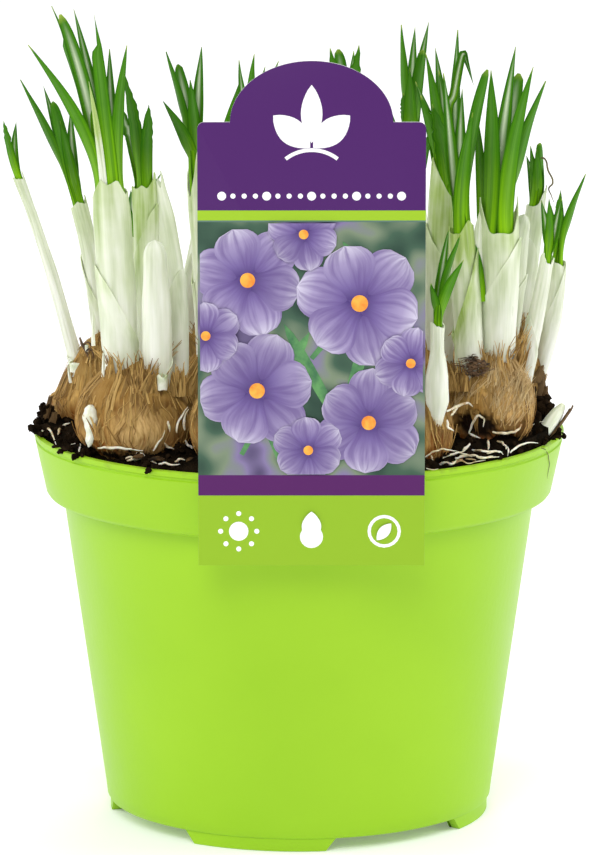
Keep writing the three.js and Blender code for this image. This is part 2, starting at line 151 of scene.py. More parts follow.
def flatSheet(name, across, along):
    # a flat unit grid that later copies are shaped from; x runs across it and y along it
    sheet = added(bpy.ops.mesh.primitive_grid_add, name, x_subdivisions=across, y_subdivisions=along, size=1)
    bpy.ops.object.mode_set(mode="EDIT")
    bpy.ops.transform.translate(value=(0.5, 0.5, 0))
    bpy.ops.object.mode_set(mode="OBJECT")
    return sheet


def mark(piece, name, values):
    # gives every vertex a number that the finishes read by name
    piece.data.attributes.new(name, "FLOAT", "POINT").data.foreach_set("value", values)


def copyOf(master, chance=0.5):
    piece = master.copy()
    piece.data = master.data.copy()
    bpy.context.collection.objects.link(piece)
    mark(piece, "chance", [chance] * len(piece.data.vertices))
    return piece


def shaped(master, place, chance=0.5):
    # a copy of a flat sheet with each vertex laid where place(across, along) says
    piece = copyOf(master, chance)
    for vertex in piece.data.vertices:
        vertex.co = place(vertex.co.x, vertex.co.y)
    return piece


def randomFrom(seed):
    state = seed

    def draw(low=0.0, high=1.0):
        nonlocal state
        state = state * 16807 % 2147483647
        return low + (high - low) * state / 2147483647
    return draw


def ease(value, start, end):
    t = min(1.0, max(0.0, (value - start) / (end - start)))
    return t * t * (3 - 2 * t)


def between(a, b, t):
    return a + (b - a) * t


def sample(values, t):
    place = min(1.0, max(0.0, t)) * (len(values) - 1)
    index = min(int(place), len(values) - 2)
    return between(values[index], values[index + 1], place - index)


def roundAbout(angle):
    # the level unit direction at an angle
    return Vector((math.cos(angle), math.sin(angle), 0))


def grain(x, y, z=0.0):
    return noise.noise(Vector((x, y, z)))


def arc(start, middle, end):
    # a quadratic curve: gives the point and the direction at t
    def at(t):
        point = start * (1 - t) ** 2 + middle * (2 * t * (1 - t)) + end * t ** 2
        along = (middle - start) * (2 * (1 - t)) + (end - middle) * (2 * t)
        return point, along.normalized()
    return at


def through(points):
    # a smooth curve through all points: gives the point and the direction at t
    def point(t):
        place = min(0.9999, max(0.0, t)) * (len(points) - 1)
        index = int(place)
        s = place - index
        b, c = points[index], points[index + 1]
        a = points[index - 1] if index > 0 else b * 2 - c
        d = points[index + 2] if index + 2 < len(points) else c * 2 - b
        return 0.5 * (2 * b + (c - a) * s + (2 * a - 5 * b + 4 * c - d) * s ** 2
                      + (3 * b - a - 3 * c + d) * s ** 3)

    def at(t):
        return point(t), (point(t + 0.01) - point(t - 0.01)).normalized()
    return at


# ---- camera, floor and light ----

studio = {
    "aim": Vector((-0.741, 0, 87.454)),
    "distance": 1271.8,
    "elevation": 10.68,
    "lens": 236.82,
    "floorRadius": 5.0,
}


def makeCamera():
    clearSelection()
    tilt = math.radians(studio["elevation"])
    back = Vector((0, -math.cos(tilt), math.sin(tilt))) * studio["distance"]
    bpy.ops.object.camera_add(location=(studio["aim"] + back) * mm, rotation=(math.pi / 2 - tilt, 0, 0))
    camera = bpy.context.object
    camera.data.lens = studio["lens"]
    camera.data.sensor_width = 36
    bpy.context.scene.camera = camera


def makeLight(name, place, size, power, tint=(1, 1, 1)):
    lamp = added(bpy.ops.object.light_add, name, type="AREA", location=place)
    lamp.data.shape = "DISK"
    lamp.data.size = size
    lamp.data.energy = power
    lamp.data.color = tint
    aim = Vector((0, 0, 0.1)) - Vector(place)
    lamp.rotation_euler = aim.to_track_quat("-Z", "Y").to_euler()


def makeStudio():
    makeLight("frontSoftbox", (-0.3, -1.6, 1.4), 1.1, 17)
    makeLight("leftSoftbox", (-1.5, 0.1, 0.8), 1.0, 10)
    makeLight("rightSoftbox", (1.5, 0.1, 0.9), 1.0, 13)
    makeLight("backSoftbox", (0.2, 1.5, 1.5), 1.0, 10)
    world = bpy.data.worlds.new("studio")
    bpy.context.scene.world = world
    world.use_nodes = True
    world.node_tree.nodes["Background"].inputs["Color"].default_value = (1, 1, 1, 1)
    world.node_tree.nodes["Background"].inputs["Strength"].default_value = 0.56
    bpy.context.scene.view_settings.view_transform = "Standard"
    floor = added(bpy.ops.mesh.primitive_circle_add, "studioFloor", vertices=96, radius=studio["floorRadius"],
                  fill_type="NGON", location=(0, 0, -0.0001))
    floor.data.materials.append(floorFinish())


# ---- material tools ----

def colour(code):
    # a six-figure colour code as linear light
    parts = [int(code[i:i + 2], 16) / 255 for i in (0, 2, 4)]
    return (*[c / 12.92 if c <= 0.04045 else ((c + 0.055) / 1.055) ** 2.4 for c in parts], 1)


def put(tree, kind, inputs=None, **settings):
    # adds a node; an input is given either a value or the socket that feeds it
    made = tree.nodes.new(kind)
    for key, value in settings.items():
        setattr(made, key, value)
    for key, value in (inputs or {}).items():
        if isinstance(value, bpy.types.NodeSocket):
            tree.links.new(value, made.inputs[key])
        else:
            made.inputs[key].default_value = value
    return made


def noiseOf(tree, place, scale, detail):
    return put(tree, "ShaderNodeTexNoise", {"Vector": place, "Scale": scale, "Detail": detail})


def moved(tree, kind, place, by):
    return put(tree, "ShaderNodeVectorMath", {0: place, 1: by}, operation=kind).outputs[0]


def calc(tree, kind, a, b=0):
    # one step of arithmetic on two sockets or numbers
    return put(tree, "ShaderNodeMath", {0: a, 1: b}, operation=kind).outputs[0]


def times(tree, a, b):
    return calc(tree, "MULTIPLY", a, b)


def blend(tree, mask, low, high):
    # each shade is a colour code, a linear colour or a socket
    shades = [colour(shade) if isinstance(shade, str) else shade for shade in (low, high)]
    made = put(tree, "ShaderNodeMix", {0: mask, 6: shades[0], 7: shades[1]}, data_type="RGBA")
    return made.outputs[2]


def stretch(tree, value, fromLow, fromHigh, toLow=0.0, toHigh=1.0):
    made = put(tree, "ShaderNodeMapRange", {0: value, 1: fromLow, 2: fromHigh, 3: toLow, 4: toHigh})
    return made.outputs[0]


def ramp(tree, value, stops, sharp=False):
    made = put(tree, "ShaderNodeValToRGB", {0: value})
    band = made.color_ramp
    band.interpolation = "CONSTANT" if sharp else "LINEAR"
    while len(band.elements) < len(stops):
        band.elements.new(0.5)
    for element, (place, shade) in zip(band.elements, stops):
        element.position = place
        element.color = colour(shade)
    return made.outputs[0]


def newFinish(name, roughness, **constants):
    finish = bpy.data.materials.new(name)
    finish.use_nodes = True
    tree = finish.node_tree
    shader = tree.nodes["Principled BSDF"]
    shader.inputs["Roughness"].default_value = roughness
    for key, value in constants.items():
        shader.inputs[key.replace("_", " ")].default_value = value
    return finish, tree, shader


def surfacePlace(tree):
    return put(tree, "ShaderNodeTexCoord").outputs["Object"]


def sheetPlace(tree):
    return put(tree, "ShaderNodeUVMap", uv_map="UVMap").outputs[0]


def markOf(tree, name):
    return put(tree, "ShaderNodeAttribute", attribute_name=name).outputs["Fac"]


def chanceOf(tree):
    return markOf(tree, "chance")


def partsOf(tree, place):
    return put(tree, "ShaderNodeSeparateXYZ", {0: place}).outputs


def heightOf(tree):
    return times(tree, partsOf(tree, surfacePlace(tree))[2], 1000)


def paint(tree, shader, shade, roughness=None):
    # the last step of a finish: its colour and, if it varies, its roughness
    tree.links.new(shade, shader.inputs["Base Color"])
    if roughness:
        tree.links.new(roughness, shader.inputs["Roughness"])


def giveBump(tree, shader, height, depth, strength=1.0):
    bump = put(tree, "ShaderNodeBump", {"Height": height, "Distance": depth * mm, "Strength": strength})
    tree.links.new(bump.outputs[0], shader.inputs["Normal"])


def newEffect(name, inputs, outputs):
    effect = bpy.data.node_groups.new(name, "ShaderNodeTree")
    for label, kind, value in inputs:
        socket = effect.interface.new_socket(name=label, in_out="INPUT", socket_type=kind)
        if value is not None:
            socket.default_value = value
    for label in outputs:
        effect.interface.new_socket(name=label, in_out="OUTPUT", socket_type="NodeSocketFloat")
    return effect, effect.nodes.new("NodeGroupInput"), effect.nodes.new("NodeGroupOutput")


def streaksEffect():
    # long thin streaks that run along a sheet: veins, fibres and silky lines
    effect, entry, result = newEffect("streaks", [
        ("Place", "NodeSocketVector", None),
        ("Across", "NodeSocketFloat", 20.0),
        ("Along", "NodeSocketFloat", 1.5),
        ("Chance", "NodeSocketFloat", 0.0),
    ], ["Mask", "Fine"])
    scale = put(effect, "ShaderNodeCombineXYZ", {0: entry.outputs["Across"], 1: entry.outputs["Along"], 2: 1})
    spread = moved(effect, "MULTIPLY", entry.outputs["Place"], scale.outputs[0])
    place = moved(effect, "ADD", spread, times(effect, entry.outputs["Chance"], 37))
    broad = noiseOf(effect, place, 1, 2)
    fine = noiseOf(effect, place, 3.1, 3)
    effect.links.new(stretch(effect, broad.outputs[0], 0.36, 0.64), result.inputs["Mask"])
    effect.links.new(stretch(effect, fine.outputs[0], 0.34, 0.66), result.inputs["Fine"])
    return effect


def mottleEffect():
    # soft blotches with small specks in them
    effect, entry, result = newEffect("mottle", [
        ("Place", "NodeSocketVector", None),
        ("Scale", "NodeSocketFloat", 60.0),
        ("Chance", "NodeSocketFloat", 0.0),
    ], ["Mask", "Specks"])
    place = moved(effect, "ADD", entry.outputs["Place"], times(effect, entry.outputs["Chance"], 11))
    soft = noiseOf(effect, place, entry.outputs["Scale"], 4)
    specks = noiseOf(effect, place, times(effect, entry.outputs["Scale"], 7), 2)
    effect.links.new(stretch(effect, soft.outputs[0], 0.35, 0.65), result.inputs["Mask"])
    effect.links.new(stretch(effect, specks.outputs[0], 0.55, 0.75), result.inputs["Specks"])
    return effect


def dustEffect():
    # compost that clings to a surface close to the compost's level
    effect, entry, result = newEffect("clingingDust", [
        ("Place", "NodeSocketVector", None),
        ("Height", "NodeSocketFloat", 88.0),
        ("Reach", "NodeSocketFloat", 8.0),
        ("Scale", "NodeSocketFloat", 400.0),
    ], ["Mask"])
    level = times(effect, partsOf(effect, entry.outputs["Place"])[2], 1000)
    away = calc(effect, "ABSOLUTE", calc(effect, "SUBTRACT", level, entry.outputs["Height"]))
    near = calc(effect, "SUBTRACT", 1, calc(effect, "DIVIDE", away, entry.outputs["Reach"]))
    specks = noiseOf(effect, entry.outputs["Place"], entry.outputs["Scale"], 4)
    clinging = calc(effect, "ADD", times(effect, near, 0.42), specks.outputs[0])
    effect.links.new(stretch(effect, clinging, 0.76, 0.9), result.inputs["Mask"])
    return effect


def useEffect(tree, effect, **inputs):
    return put(tree, "ShaderNodeGroup", inputs, node_tree=effect).outputs


streaks = streaksEffect()
mottle = mottleEffect()
clingingDust = dustEffect()


# ---- finishes ----

def floorFinish():
    finish, tree, shader = newFinish("studioPaper", 0.9, Specular_IOR_Level=0.0, Emission_Strength=0.16)
    shader.inputs["Emission Color"].default_value = (1, 1, 1, 1)
    spots = useEffect(tree, mottle, Place=surfacePlace(tree), Scale=6)
    paper = blend(tree, spots["Mask"], (0.94, 0.94, 0.94, 1), (0.92, 0.925, 0.93, 1))
    paint(tree, shader, paper)
    return finish


def potFinish():
    finish, tree, shader = newFinish("limePlastic", 0.4, Specular_IOR_Level=0.3)
    place = surfacePlace(tree)
    cloud = useEffect(tree, mottle, Place=place, Scale=28)
    grainy = useEffect(tree, mottle, Place=place, Scale=700)
    dust = useEffect(tree, clingingDust, Place=place, Height=88.6, Reach=3.2, Scale=330)
    base = blend(tree, cloud["Mask"], "94c418", "99c81e")
    dusty = blend(tree, times(tree, dust["Mask"], 0.3), base, "6f7a32")
    paint(tree, shader, dusty, stretch(tree, cloud["Mask"], 0, 1, 0.36, 0.46))
    giveBump(tree, shader, grainy["Mask"], 0.03, 0.35)
    return finish


def peatFinish(name, darkest, palest):
    finish, tree, shader = newFinish(name, 0.97, Specular_IOR_Level=0.03)
    place = surfacePlace(tree)
    chance = chanceOf(tree)
    clods = useEffect(tree, mottle, Place=place, Scale=260, Chance=chance)
    fine = useEffect(tree, mottle, Place=place, Scale=1100)
    tone = blend(tree, clods["Mask"], darkest, palest)
    speckled = blend(tree, times(tree, fine["Specks"], 0.35), tone, "4a3824")
    paint(tree, shader, speckled)
    giveBump(tree, shader, calc(tree, "ADD", clods["Mask"], fine["Mask"]), 0.35, 0.8)
    return finish


def coatFinish(name, dark, mid, pale, low, variety=0.0):
    # the corm's fibrous coat: silky matted streaks in broad tan and brown sweeps, redder towards the compost,
    # with painted shade in the fine lines between fibres and in the open hollows
    finish, tree, shader = newFinish(name, 0.6, Specular_IOR_Level=0.12)
    place = surfacePlace(tree)
    chance = chanceOf(tree)
    swayed = moved(tree, "MULTIPLY", noiseOf(tree, place, 90, 2).outputs["Color"], (0.07, 0.02, 0))
    wavy = moved(tree, "ADD", sheetPlace(tree), swayed)
    fibre = useEffect(tree, streaks, Place=wavy, Across=44, Along=3.6, Chance=chance)
    sweep = useEffect(tree, mottle, Place=place, Scale=62, Chance=chance)
    patch = useEffect(tree, mottle, Place=place, Scale=170, Chance=chance)
    broad = blend(tree, sweep["Mask"], mid, dark)
    lit = blend(tree, times(tree, patch["Mask"], 0.55), broad, pale)
    lowMask = times(tree, stretch(tree, heightOf(tree), 97, 90),
                   stretch(tree, patch["Mask"], 0, 1, 1.0, 0.45))
    redder = blend(tree, lowMask, lit, low)
    silky = blend(tree, times(tree, fibre["Mask"], 0.42), redder, pale)
    # fine dark lines between the fibres: partly darker strands, partly painted shade between them
    shadeBetweenFibres = times(tree, calc(tree, "SUBTRACT", 1, fibre["Fine"]), 0.3)
    shadowLined = blend(tree, shadeBetweenFibres, silky, dark)
    silk = times(tree, markOf(tree, "silk"), calc(tree, "ADD", 0.15, fibre["Fine"]))
    matted = blend(tree, silk, shadowLined, "d2ae74")
    strands = times(tree, calc(tree, "POWER", chance, 3), 0.6 * variety)
    paler = times(tree, calc(tree, "POWER", calc(tree, "SUBTRACT", 1, chance), 2), variety)
    varied = blend(tree, strands, blend(tree, paler, matted, pale), "4a3012")
    # the open hollows are painted near black: painted shade in the recess
    shadedHollow = blend(tree, markOf(tree, "hollowShade"), varied, "1d120a")
    dust = useEffect(tree, clingingDust, Place=place, Height=87, Reach=6, Scale=420)
    dusty = blend(tree, dust["Mask"], shadedHollow, "20160d")
    paint(tree, shader, dusty, stretch(tree, fibre["Fine"], 0, 1, 0.45, 0.7))
    giveBump(tree, shader, calc(tree, "ADD", fibre["Mask"], fibre["Fine"]), 0.2, 0.6)
    return finish


def sheathFinish():
    # silky translucent white with soft lengthwise shading; chance says how green it grows to the mouth
    finish, tree, shader = newFinish("silkySheath", 0.42, Specular_IOR_Level=0.3, Subsurface_Weight=0.15,
                                     Subsurface_Scale=0.002)
    shader.inputs["Subsurface Radius"].default_value = (0.8, 0.9, 0.5)
    place = surfacePlace(tree)
    sheet = sheetPlace(tree)
    along = partsOf(tree, sheet)[1]
    chance = chanceOf(tree)
    veins = useEffect(tree, streaks, Place=sheet, Across=34, Along=1.2, Chance=chance)
    silk = useEffect(tree, streaks, Place=sheet, Across=9, Along=2.2, Chance=chance)
    patch = useEffect(tree, mottle, Place=place, Scale=85, Chance=chance)
    grown = stretch(tree, along, 0.1, 0.92)
    steep = calc(tree, "POWER", grown, 1.4)
    shine = calc(tree, "ADD", 0.35, times(tree, calc(tree, "ADD", patch["Mask"], silk["Mask"]), 0.5))
    white = blend(tree, times(tree, silk["Mask"], 0.5), "f4f6e8", "d0d8b6")
    green = blend(tree, silk["Mask"], "b2cb70", "85a438")
    greenness = times(tree, times(tree, steep, shine), chance)
    tinted = blend(tree, greenness, white, green)
    veined = blend(tree, times(tree, veins["Mask"], 0.09), tinted, "a9b684")
    lit = blend(tree, times(tree, veins["Fine"], 0.12), veined, "fdfdf6")
    foot = blend(tree, stretch(tree, along, 0.14, 0.02, 0, 0.4), lit, "f3eccf")
    dust = useEffect(tree, clingingDust, Place=place, Height=96, Reach=6, Scale=300)
    dusty = blend(tree, times(tree, dust["Mask"], 0.25), foot, "a98752")
    paint(tree, shader, dusty, stretch(tree, veins["Fine"], 0, 1, 0.36, 0.5))
    giveBump(tree, shader, calc(tree, "ADD", silk["Mask"], veins["Fine"]), 0.06, 0.35)
    return finish


def bladeFinish(name, stripeStrength, stripeReach):
    # yellow-green at the foot and cooler green above; the inner face has a soft white stripe, and the edges
    # carry painted shade
    finish, tree, shader = newFinish(name, 0.45, Specular_IOR_Level=0.1)
    shader.inputs["Specular Tint"].default_value = (0.55, 0.85, 0.2, 1)
    sheet = sheetPlace(tree)
    across, along, _ = partsOf(tree, sheet)
    chance = chanceOf(tree)
    veins = useEffect(tree, streaks, Place=sheet, Across=9, Along=0.9, Chance=chance)
    patch = useEffect(tree, mottle, Place=surfacePlace(tree), Scale=90, Chance=chance)
    fresh = blend(tree, chance, "225606", "55960f")
    high = times(tree, stretch(tree, along, 0.5, 0.9), 0.7)
    cooler = blend(tree, high, fresh, "387b22")
    shaded = blend(tree, times(tree, patch["Mask"], 0.4), cooler, "28650c")
    footReach = calc(tree, "ADD", 0.6, times(tree, chance, 0.45))
    footMask = times(tree, stretch(tree, along, 0.62, 0.16), footReach)
    footed = blend(tree, footMask, shaded, "84bb0e")
    lit = blend(tree, times(tree, veins["Fine"], 0.25), footed, "78ad22")
    veined = blend(tree, times(tree, veins["Mask"], 0.55), lit, "2f6a08")
    middle = calc(tree, "ABSOLUTE", calc(tree, "SUBTRACT", across, 0.5))
    # the edges are painted darker: painted shade between neighbouring leaves
    edges = stretch(tree, middle, 0.37, 0.49, 0, 0.75)
    shadedEdges = blend(tree, edges, veined, "235a0a")
    stripe = times(tree, stretch(tree, middle, stripeReach, 0.02), stripeStrength)
    notAtTip = times(tree, stretch(tree, along, 0.98, 0.8), stretch(tree, along, 0.15, 0.4, 0.3, 1.0))
    striped = blend(tree, times(tree, stripe, notAtTip), shadedEdges, "dbe8c8")
    tipMask = times(tree, stretch(tree, along, 0.965, 1.0), chance)
    tipped = blend(tree, tipMask, striped, "a9bd50")
    paint(tree, shader, tipped, stretch(tree, veins["Fine"], 0, 1, 0.36, 0.52))
    giveBump(tree, shader, veins["Mask"], 0.08, 0.4)
    return finish


def rootFinish():
    finish, tree, shader = newFinish("rootSkin", 0.55, Subsurface_Weight=0.15, Subsurface_Scale=0.001)
    place = surfacePlace(tree)
    patch = useEffect(tree, mottle, Place=place, Scale=240)
    skin = ramp(tree, patch["Mask"], [(0.0, "b39a6c"), (0.3, "e2d6b6"),
                                      (0.75, "f6f1e0")])
    dirt = blend(tree, times(tree, patch["Specks"], 0.4), skin, "6a5436")
    paint(tree, shader, dirt)
    giveBump(tree, shader, patch["Specks"], 0.08, 0.6)
    return finish


def dryFinish(name, dark, pale):
    finish, tree, shader = newFinish(name, 0.7)
    place = surfacePlace(tree)
    patch = useEffect(tree, mottle, Place=place, Scale=500)
    paint(tree, shader, blend(tree, patch["Mask"], dark, pale))
    giveBump(tree, shader, patch["Mask"], 0.1, 0.7)
    return finish


def inkFinish(name, low, high, scale=160):
    # printed ink on coated card: two close tones in a fine halftone-like mottle
    finish, tree, shader = newFinish(name, 0.3, Specular_IOR_Level=0.5)
    place = surfacePlace(tree)
    patch = useEffect(tree, mottle, Place=place, Scale=scale)
    paint(tree, shader, blend(tree, patch["Mask"], low, high))
    giveBump(tree, shader, patch["Specks"], 0.01, 0.3)
    return finish


limePlastic = potFinish()
peat = peatFinish("darkPeat", "050402", "1c150d")
crumbPeat = peatFinish("peatCrumb", "090603", "2a1f14")
coat = coatFinish("silkyCoat", "4c2c0c", "a07029", "dab56c", "8f4a12")
fibreCoat = coatFinish("looseFibre", "643b12", "a97833", "e0bb74", "9e5e1c", 0.9)
hairCoat = coatFinish("silkyHair", "a07236", "d2ab62", "f3dfae", "b97f3a", 0.4)
silkySheath = sheathFinish()
leafOutside = bladeFinish("leafOutside", 0.04, 0.3)
leafInside = bladeFinish("leafInside", 0.85, 0.3)
rootSkin = rootFinish()
shellCoat = coatFinish("tornShell", "2c1c0e", "5e4326", "9a7d54", "4a3219")
dryBlack = dryFinish("shrivelledBlack", "2a1d11", "75583a")
dryBrown = dryFinish("dryBrown", "3f3a1c", "6e6236")
print("finishes ready")


# ---- pot ----

potSizes = {
    "rimRadius": 60, "height": 87.7, "bandFoot": 73, "bandFootRadius": 56.9, "bodyTopRadius": 53.3,
    "bodyFootRadius": 44, "wall": 1.2, "floorUnderside": 2.7, "floorTop": 4.2, "lipCorner": 0.4,
    "grooveBelowLip": 1.7, "grooveDepth": 0.35, "steps": 180,
    "footCount": 4, "footAngle": 48, "footTurn": -12.4, "footInner": 40.2, "footOuter": 43, "footSlope": 0.15,
    "drainHoles": 4, "drainRadius": 3.5, "drainCircle": 28,
}


def spunFrom(name, outline, steps):
    # draws an outline of (radius, height) by extruding one vertex, then spins it about the upright axis
    piece = added(bpy.ops.mesh.primitive_plane_add, name, size=1, location=(0, 0, 0))
    bpy.ops.object.mode_set(mode="EDIT")
    bpy.ops.mesh.select_mode(type="VERT")
    bpy.ops.mesh.merge(type="CENTER")
    bpy.ops.transform.translate(value=(outline[0][0], 0, outline[0][1]))
    for (radius, height), (nextRadius, nextHeight) in zip(outline, outline[1:]):
        step = (nextRadius - radius, 0, nextHeight - height)
        bpy.ops.mesh.extrude_region_move(TRANSFORM_OT_translate={"value": step})
    bpy.ops.mesh.select_all(action="SELECT")
    bpy.ops.mesh.spin(steps=steps, angle=turn, center=(0, 0, 0), axis=(0, 0, 1))
    bpy.ops.object.mode_set(mode="OBJECT")
    mergeDoubles(piece)
    facesOutward(piece)
    return piece


def potOutline():
    p = potSizes
    lip, top, band, wall = p["lipCorner"], p["height"], p["bandFoot"], p["wall"]
    slope = (p["rimRadius"] - p["bandFootRadius"]) / (top - band)

    def bandAt(height, inward=0.0):
        return (p["bandFootRadius"] + slope * (height - band) - inward, height)
    groove = top - p["grooveBelowLip"]
    return [
        (0, p["floorUnderside"]), (42.6, p["floorUnderside"]), (43.3, 2.95), (43.7, 3.6),
        (p["bodyFootRadius"], 6.2), (p["bodyTopRadius"] - 0.1, band - 0.8),
        (p["bodyTopRadius"] + 0.15, band - 0.15), (p["bodyTopRadius"] + 0.7, band),
        (p["bandFootRadius"] - 0.9, band + 0.05), (p["bandFootRadius"] - 0.25, band + 0.4),
        bandAt(band + 1.1), bandAt(groove - 0.5), bandAt(groove - 0.2, p["grooveDepth"]),
        bandAt(groove + 0.2, p["grooveDepth"]), bandAt(groove + 0.5), bandAt(top - 0.55),
        (p["rimRadius"] - 0.15, top - 0.15), (p["rimRadius"] - 0.5, top),
        (p["rimRadius"] - wall - 0.1, top), (p["rimRadius"] - wall - lip, top - lip),
        (p["bandFootRadius"] - wall, band + wall), (p["bodyTopRadius"] - wall, band + wall),
        (p["bodyFootRadius"] - wall - 0.6, p["floorTop"]), (0, p["floorTop"]),
    ]


def makeFoot(number):
    # one foot: a stretch of low wall under the floor's edge, with rounded ends that slope a little
    p = potSizes
    middle = math.radians(-90 + p["footTurn"] + number * 360 / p["footCount"])
    half = math.radians(p["footAngle"] / 2)
    width = p["footOuter"] - p["footInner"]
    height = p["floorUnderside"] + 0.6
    foot = added(bpy.ops.mesh.primitive_plane_add, f"foot{number}", size=1, rotation=(math.pi / 2, 0, 0),
                 location=(p["footInner"] + width / 2, 0, height / 2))
    foot.scale = (width, height, 1)
    applyPlace(foot)
    bpy.ops.object.mode_set(mode="EDIT")
    bpy.ops.transform.rotate(value=-(middle + half), orient_axis="Z", center_override=(0, 0, 0))
    bpy.ops.mesh.spin(steps=16, angle=2 * half, center=(0, 0, 0), axis=(0, 0, 1))
    bpy.ops.object.mode_set(mode="OBJECT")
    facesOutward(foot)
    # its lower edge is a little shorter, so both ends slope
    for vertex in foot.data.vertices:
        if vertex.co.z < 0.1:
            aside = math.atan2(vertex.co.y, vertex.co.x) - middle
            aside = (aside + math.pi) % turn - math.pi
            vertex.co = Matrix.Rotation(-p["footSlope"] * aside, 3, "Z") @ vertex.co
    reach = (p["footInner"] + p["footOuter"]) / 2
    ends = [Vector((reach * math.cos(middle + side * half), reach * math.sin(middle + side * half)))
            for side in (-1, 1)]

    def uprightAtEnd(edge):
        a, b = (foot.data.vertices[i].co for i in edge.vertices)
        return abs(a.z - b.z) > 1 and any((a.xy - end).length < width for end in ends)
    edited(foot, bpy.ops.mesh.bevel, uprightAtEnd, "EDGE", offset=0.49 * width, segments=5, affect="EDGES")
    return foot


def makeBore(number):
    p = potSizes
    angle = (number + 0.5) / p["drainHoles"] * turn
    return added(bpy.ops.mesh.primitive_cylinder_add, f"bore{number}", vertices=28, radius=p["drainRadius"],
                 depth=4 * p["floorTop"], location=(p["drainCircle"] * math.cos(angle),
                                                    p["drainCircle"] * math.sin(angle), p["floorTop"]))


def makePot():
    shell = spunFrom("potShell", potOutline(), potSizes["steps"])
    ring = joined("footRing", [makeFoot(number) for number in range(potSizes["footCount"])])
    modify(shell, "BOOLEAN", operation="UNION", object=ring, solver="MANIFOLD")
    drill = joined("drill", [makeBore(number) for number in range(potSizes["drainHoles"])])
    applyPlace(drill)
    modify(shell, "BOOLEAN", operation="DIFFERENCE", object=drill, solver="MANIFOLD")
    discard(ring, drill)
    settle(shell, limePlastic, "lime_plastic", "pot", smooth=32)


# ---- compost ----

compostSizes = {
    "level": 88.2, "rings": 62, "edgeRadius": 57.6, "crumbs": 950, "clods": 90, "clodRadius": 56,
    "steps": 200,
    "rimCrumbs": 150, "perHeap": 9,
    # heaps of loose crumbs: the middle of each and the size of its largest crumbs
    "heaps": [(52.6, 4, 94.4, 2.0), (54.8, 3, 93.6, 1.9), (56.2, -1, 92, 1.7), (57.2, -6, 90.8, 1.4),
              (53, -5, 92.4, 1.8), (50.6, -9, 91.6, 1.5), (52.2, -8, 96.4, 1.5), (54.3, -8.4, 95.4, 1.5),
              (56.2, -8.8, 93.8, 1.5), (54, -8, 93.4, 1.9), (55.5, -9, 90.4, 1.3), (58.6, -12, 89, 1.0),
              (-56.2, -6, 91.6, 1.7), (-57.4, -11, 90, 1.5), (-53.4, -13, 89.6, 1.5), (-50, -19, 89.2, 1.6),
              (-47.6, -26, 88.8, 1.5), (-46.5, -32, 88.6, 1.3), (-59.2, -9, 89.2, 0.9), (-57, -8, 93.2, 1.2),
              (-56.4, -8.2, 94.3, 0.8),
              (-51.5, -29.8, 88.2, 0.9), (-48.6, -34.6, 88.1, 0.9), (-32.6, -49.6, 88, 0.8)],
}


def soilHeight(x, y):
    # heaped at the left and right behind the front, a little lower at the edge, with low hummocks
    sides = 3.6 * ease(abs(x), 42, 56) * ease(y, -40, -8)
    right = 1.8 * ease(x, 22, 36) * ease(-y, 0, 25)
    hummocks = 0.8 * math.sin(0.31 * x + 1.3) * math.sin(0.27 * y + 0.4)
    clods = 0.5 * math.sin(0.62 * x - 0.5 * y)
    edge = 1.8 * ease(math.hypot(x, y), 49, 57)
    return compostSizes["level"] + sides + right + hummocks + clods - edge


def roughSoil(x, y):
    coarse = 0.9 * grain(0.16 * x, 0.16 * y, 3.1)
    fine = 0.55 * grain(0.5 * x, 0.5 * y, 7.7) + 0.3 * grain(1.3 * x, 1.3 * y, 1.9)
    return soilHeight(x, y) + coarse + fine


def makeCompost():
    c = compostSizes
    p = potSizes
    clear = p["wall"] + 0.4
    step = p["bandFoot"] + p["wall"] + 0.3
    outline = [(c["edgeRadius"] * i / c["rings"], c["level"]) for i in range(c["rings"] + 1)]
    outline += [
        (p["rimRadius"] - clear - 0.6, p["height"] - 2), (p["bandFootRadius"] - clear, step + 0.1),
        (p["bodyTopRadius"] - clear, step), (p["bodyFootRadius"] - clear - 0.7, p["floorTop"] + 0.3),
        (0, p["floorTop"] + 0.3),
    ]
    body = spunFrom("compostBody", outline, c["steps"])
    for vertex in body.data.vertices:
        if vertex.co.z > c["level"] - 0.1:
            vertex.co.z = roughSoil(vertex.co.x, vertex.co.y)
    settle(body, peat, "compost", "soil", smooth=60)


def lumpMaster(name, detail, seed):
    lump = added(bpy.ops.mesh.primitive_ico_sphere_add, name, subdivisions=detail, radius=1,
                 location=(0, 0, 0))
    for vertex in lump.data.vertices:
        co = vertex.co
        vertex.co = co * (1 + 0.45 * grain(co.x * 1.7 + seed, co.y * 1.7, co.z * 1.7))
    return lump


def scattered(master, place, size, draw):
    # a turned, unevenly scaled copy of a lump at a place
    lump = copyOf(master, draw())
    spin = Matrix.Rotation(draw(0, turn), 4, "Z") @ Matrix.Rotation(draw(0, turn), 4, "X")
    scale = Matrix.Diagonal((size * draw(0.7, 1.3), size * draw(0.7, 1.3), size * draw(0.5, 1.0), 1))
    lump.data.transform(Matrix.Translation(place) @ spin @ scale)
    return lump


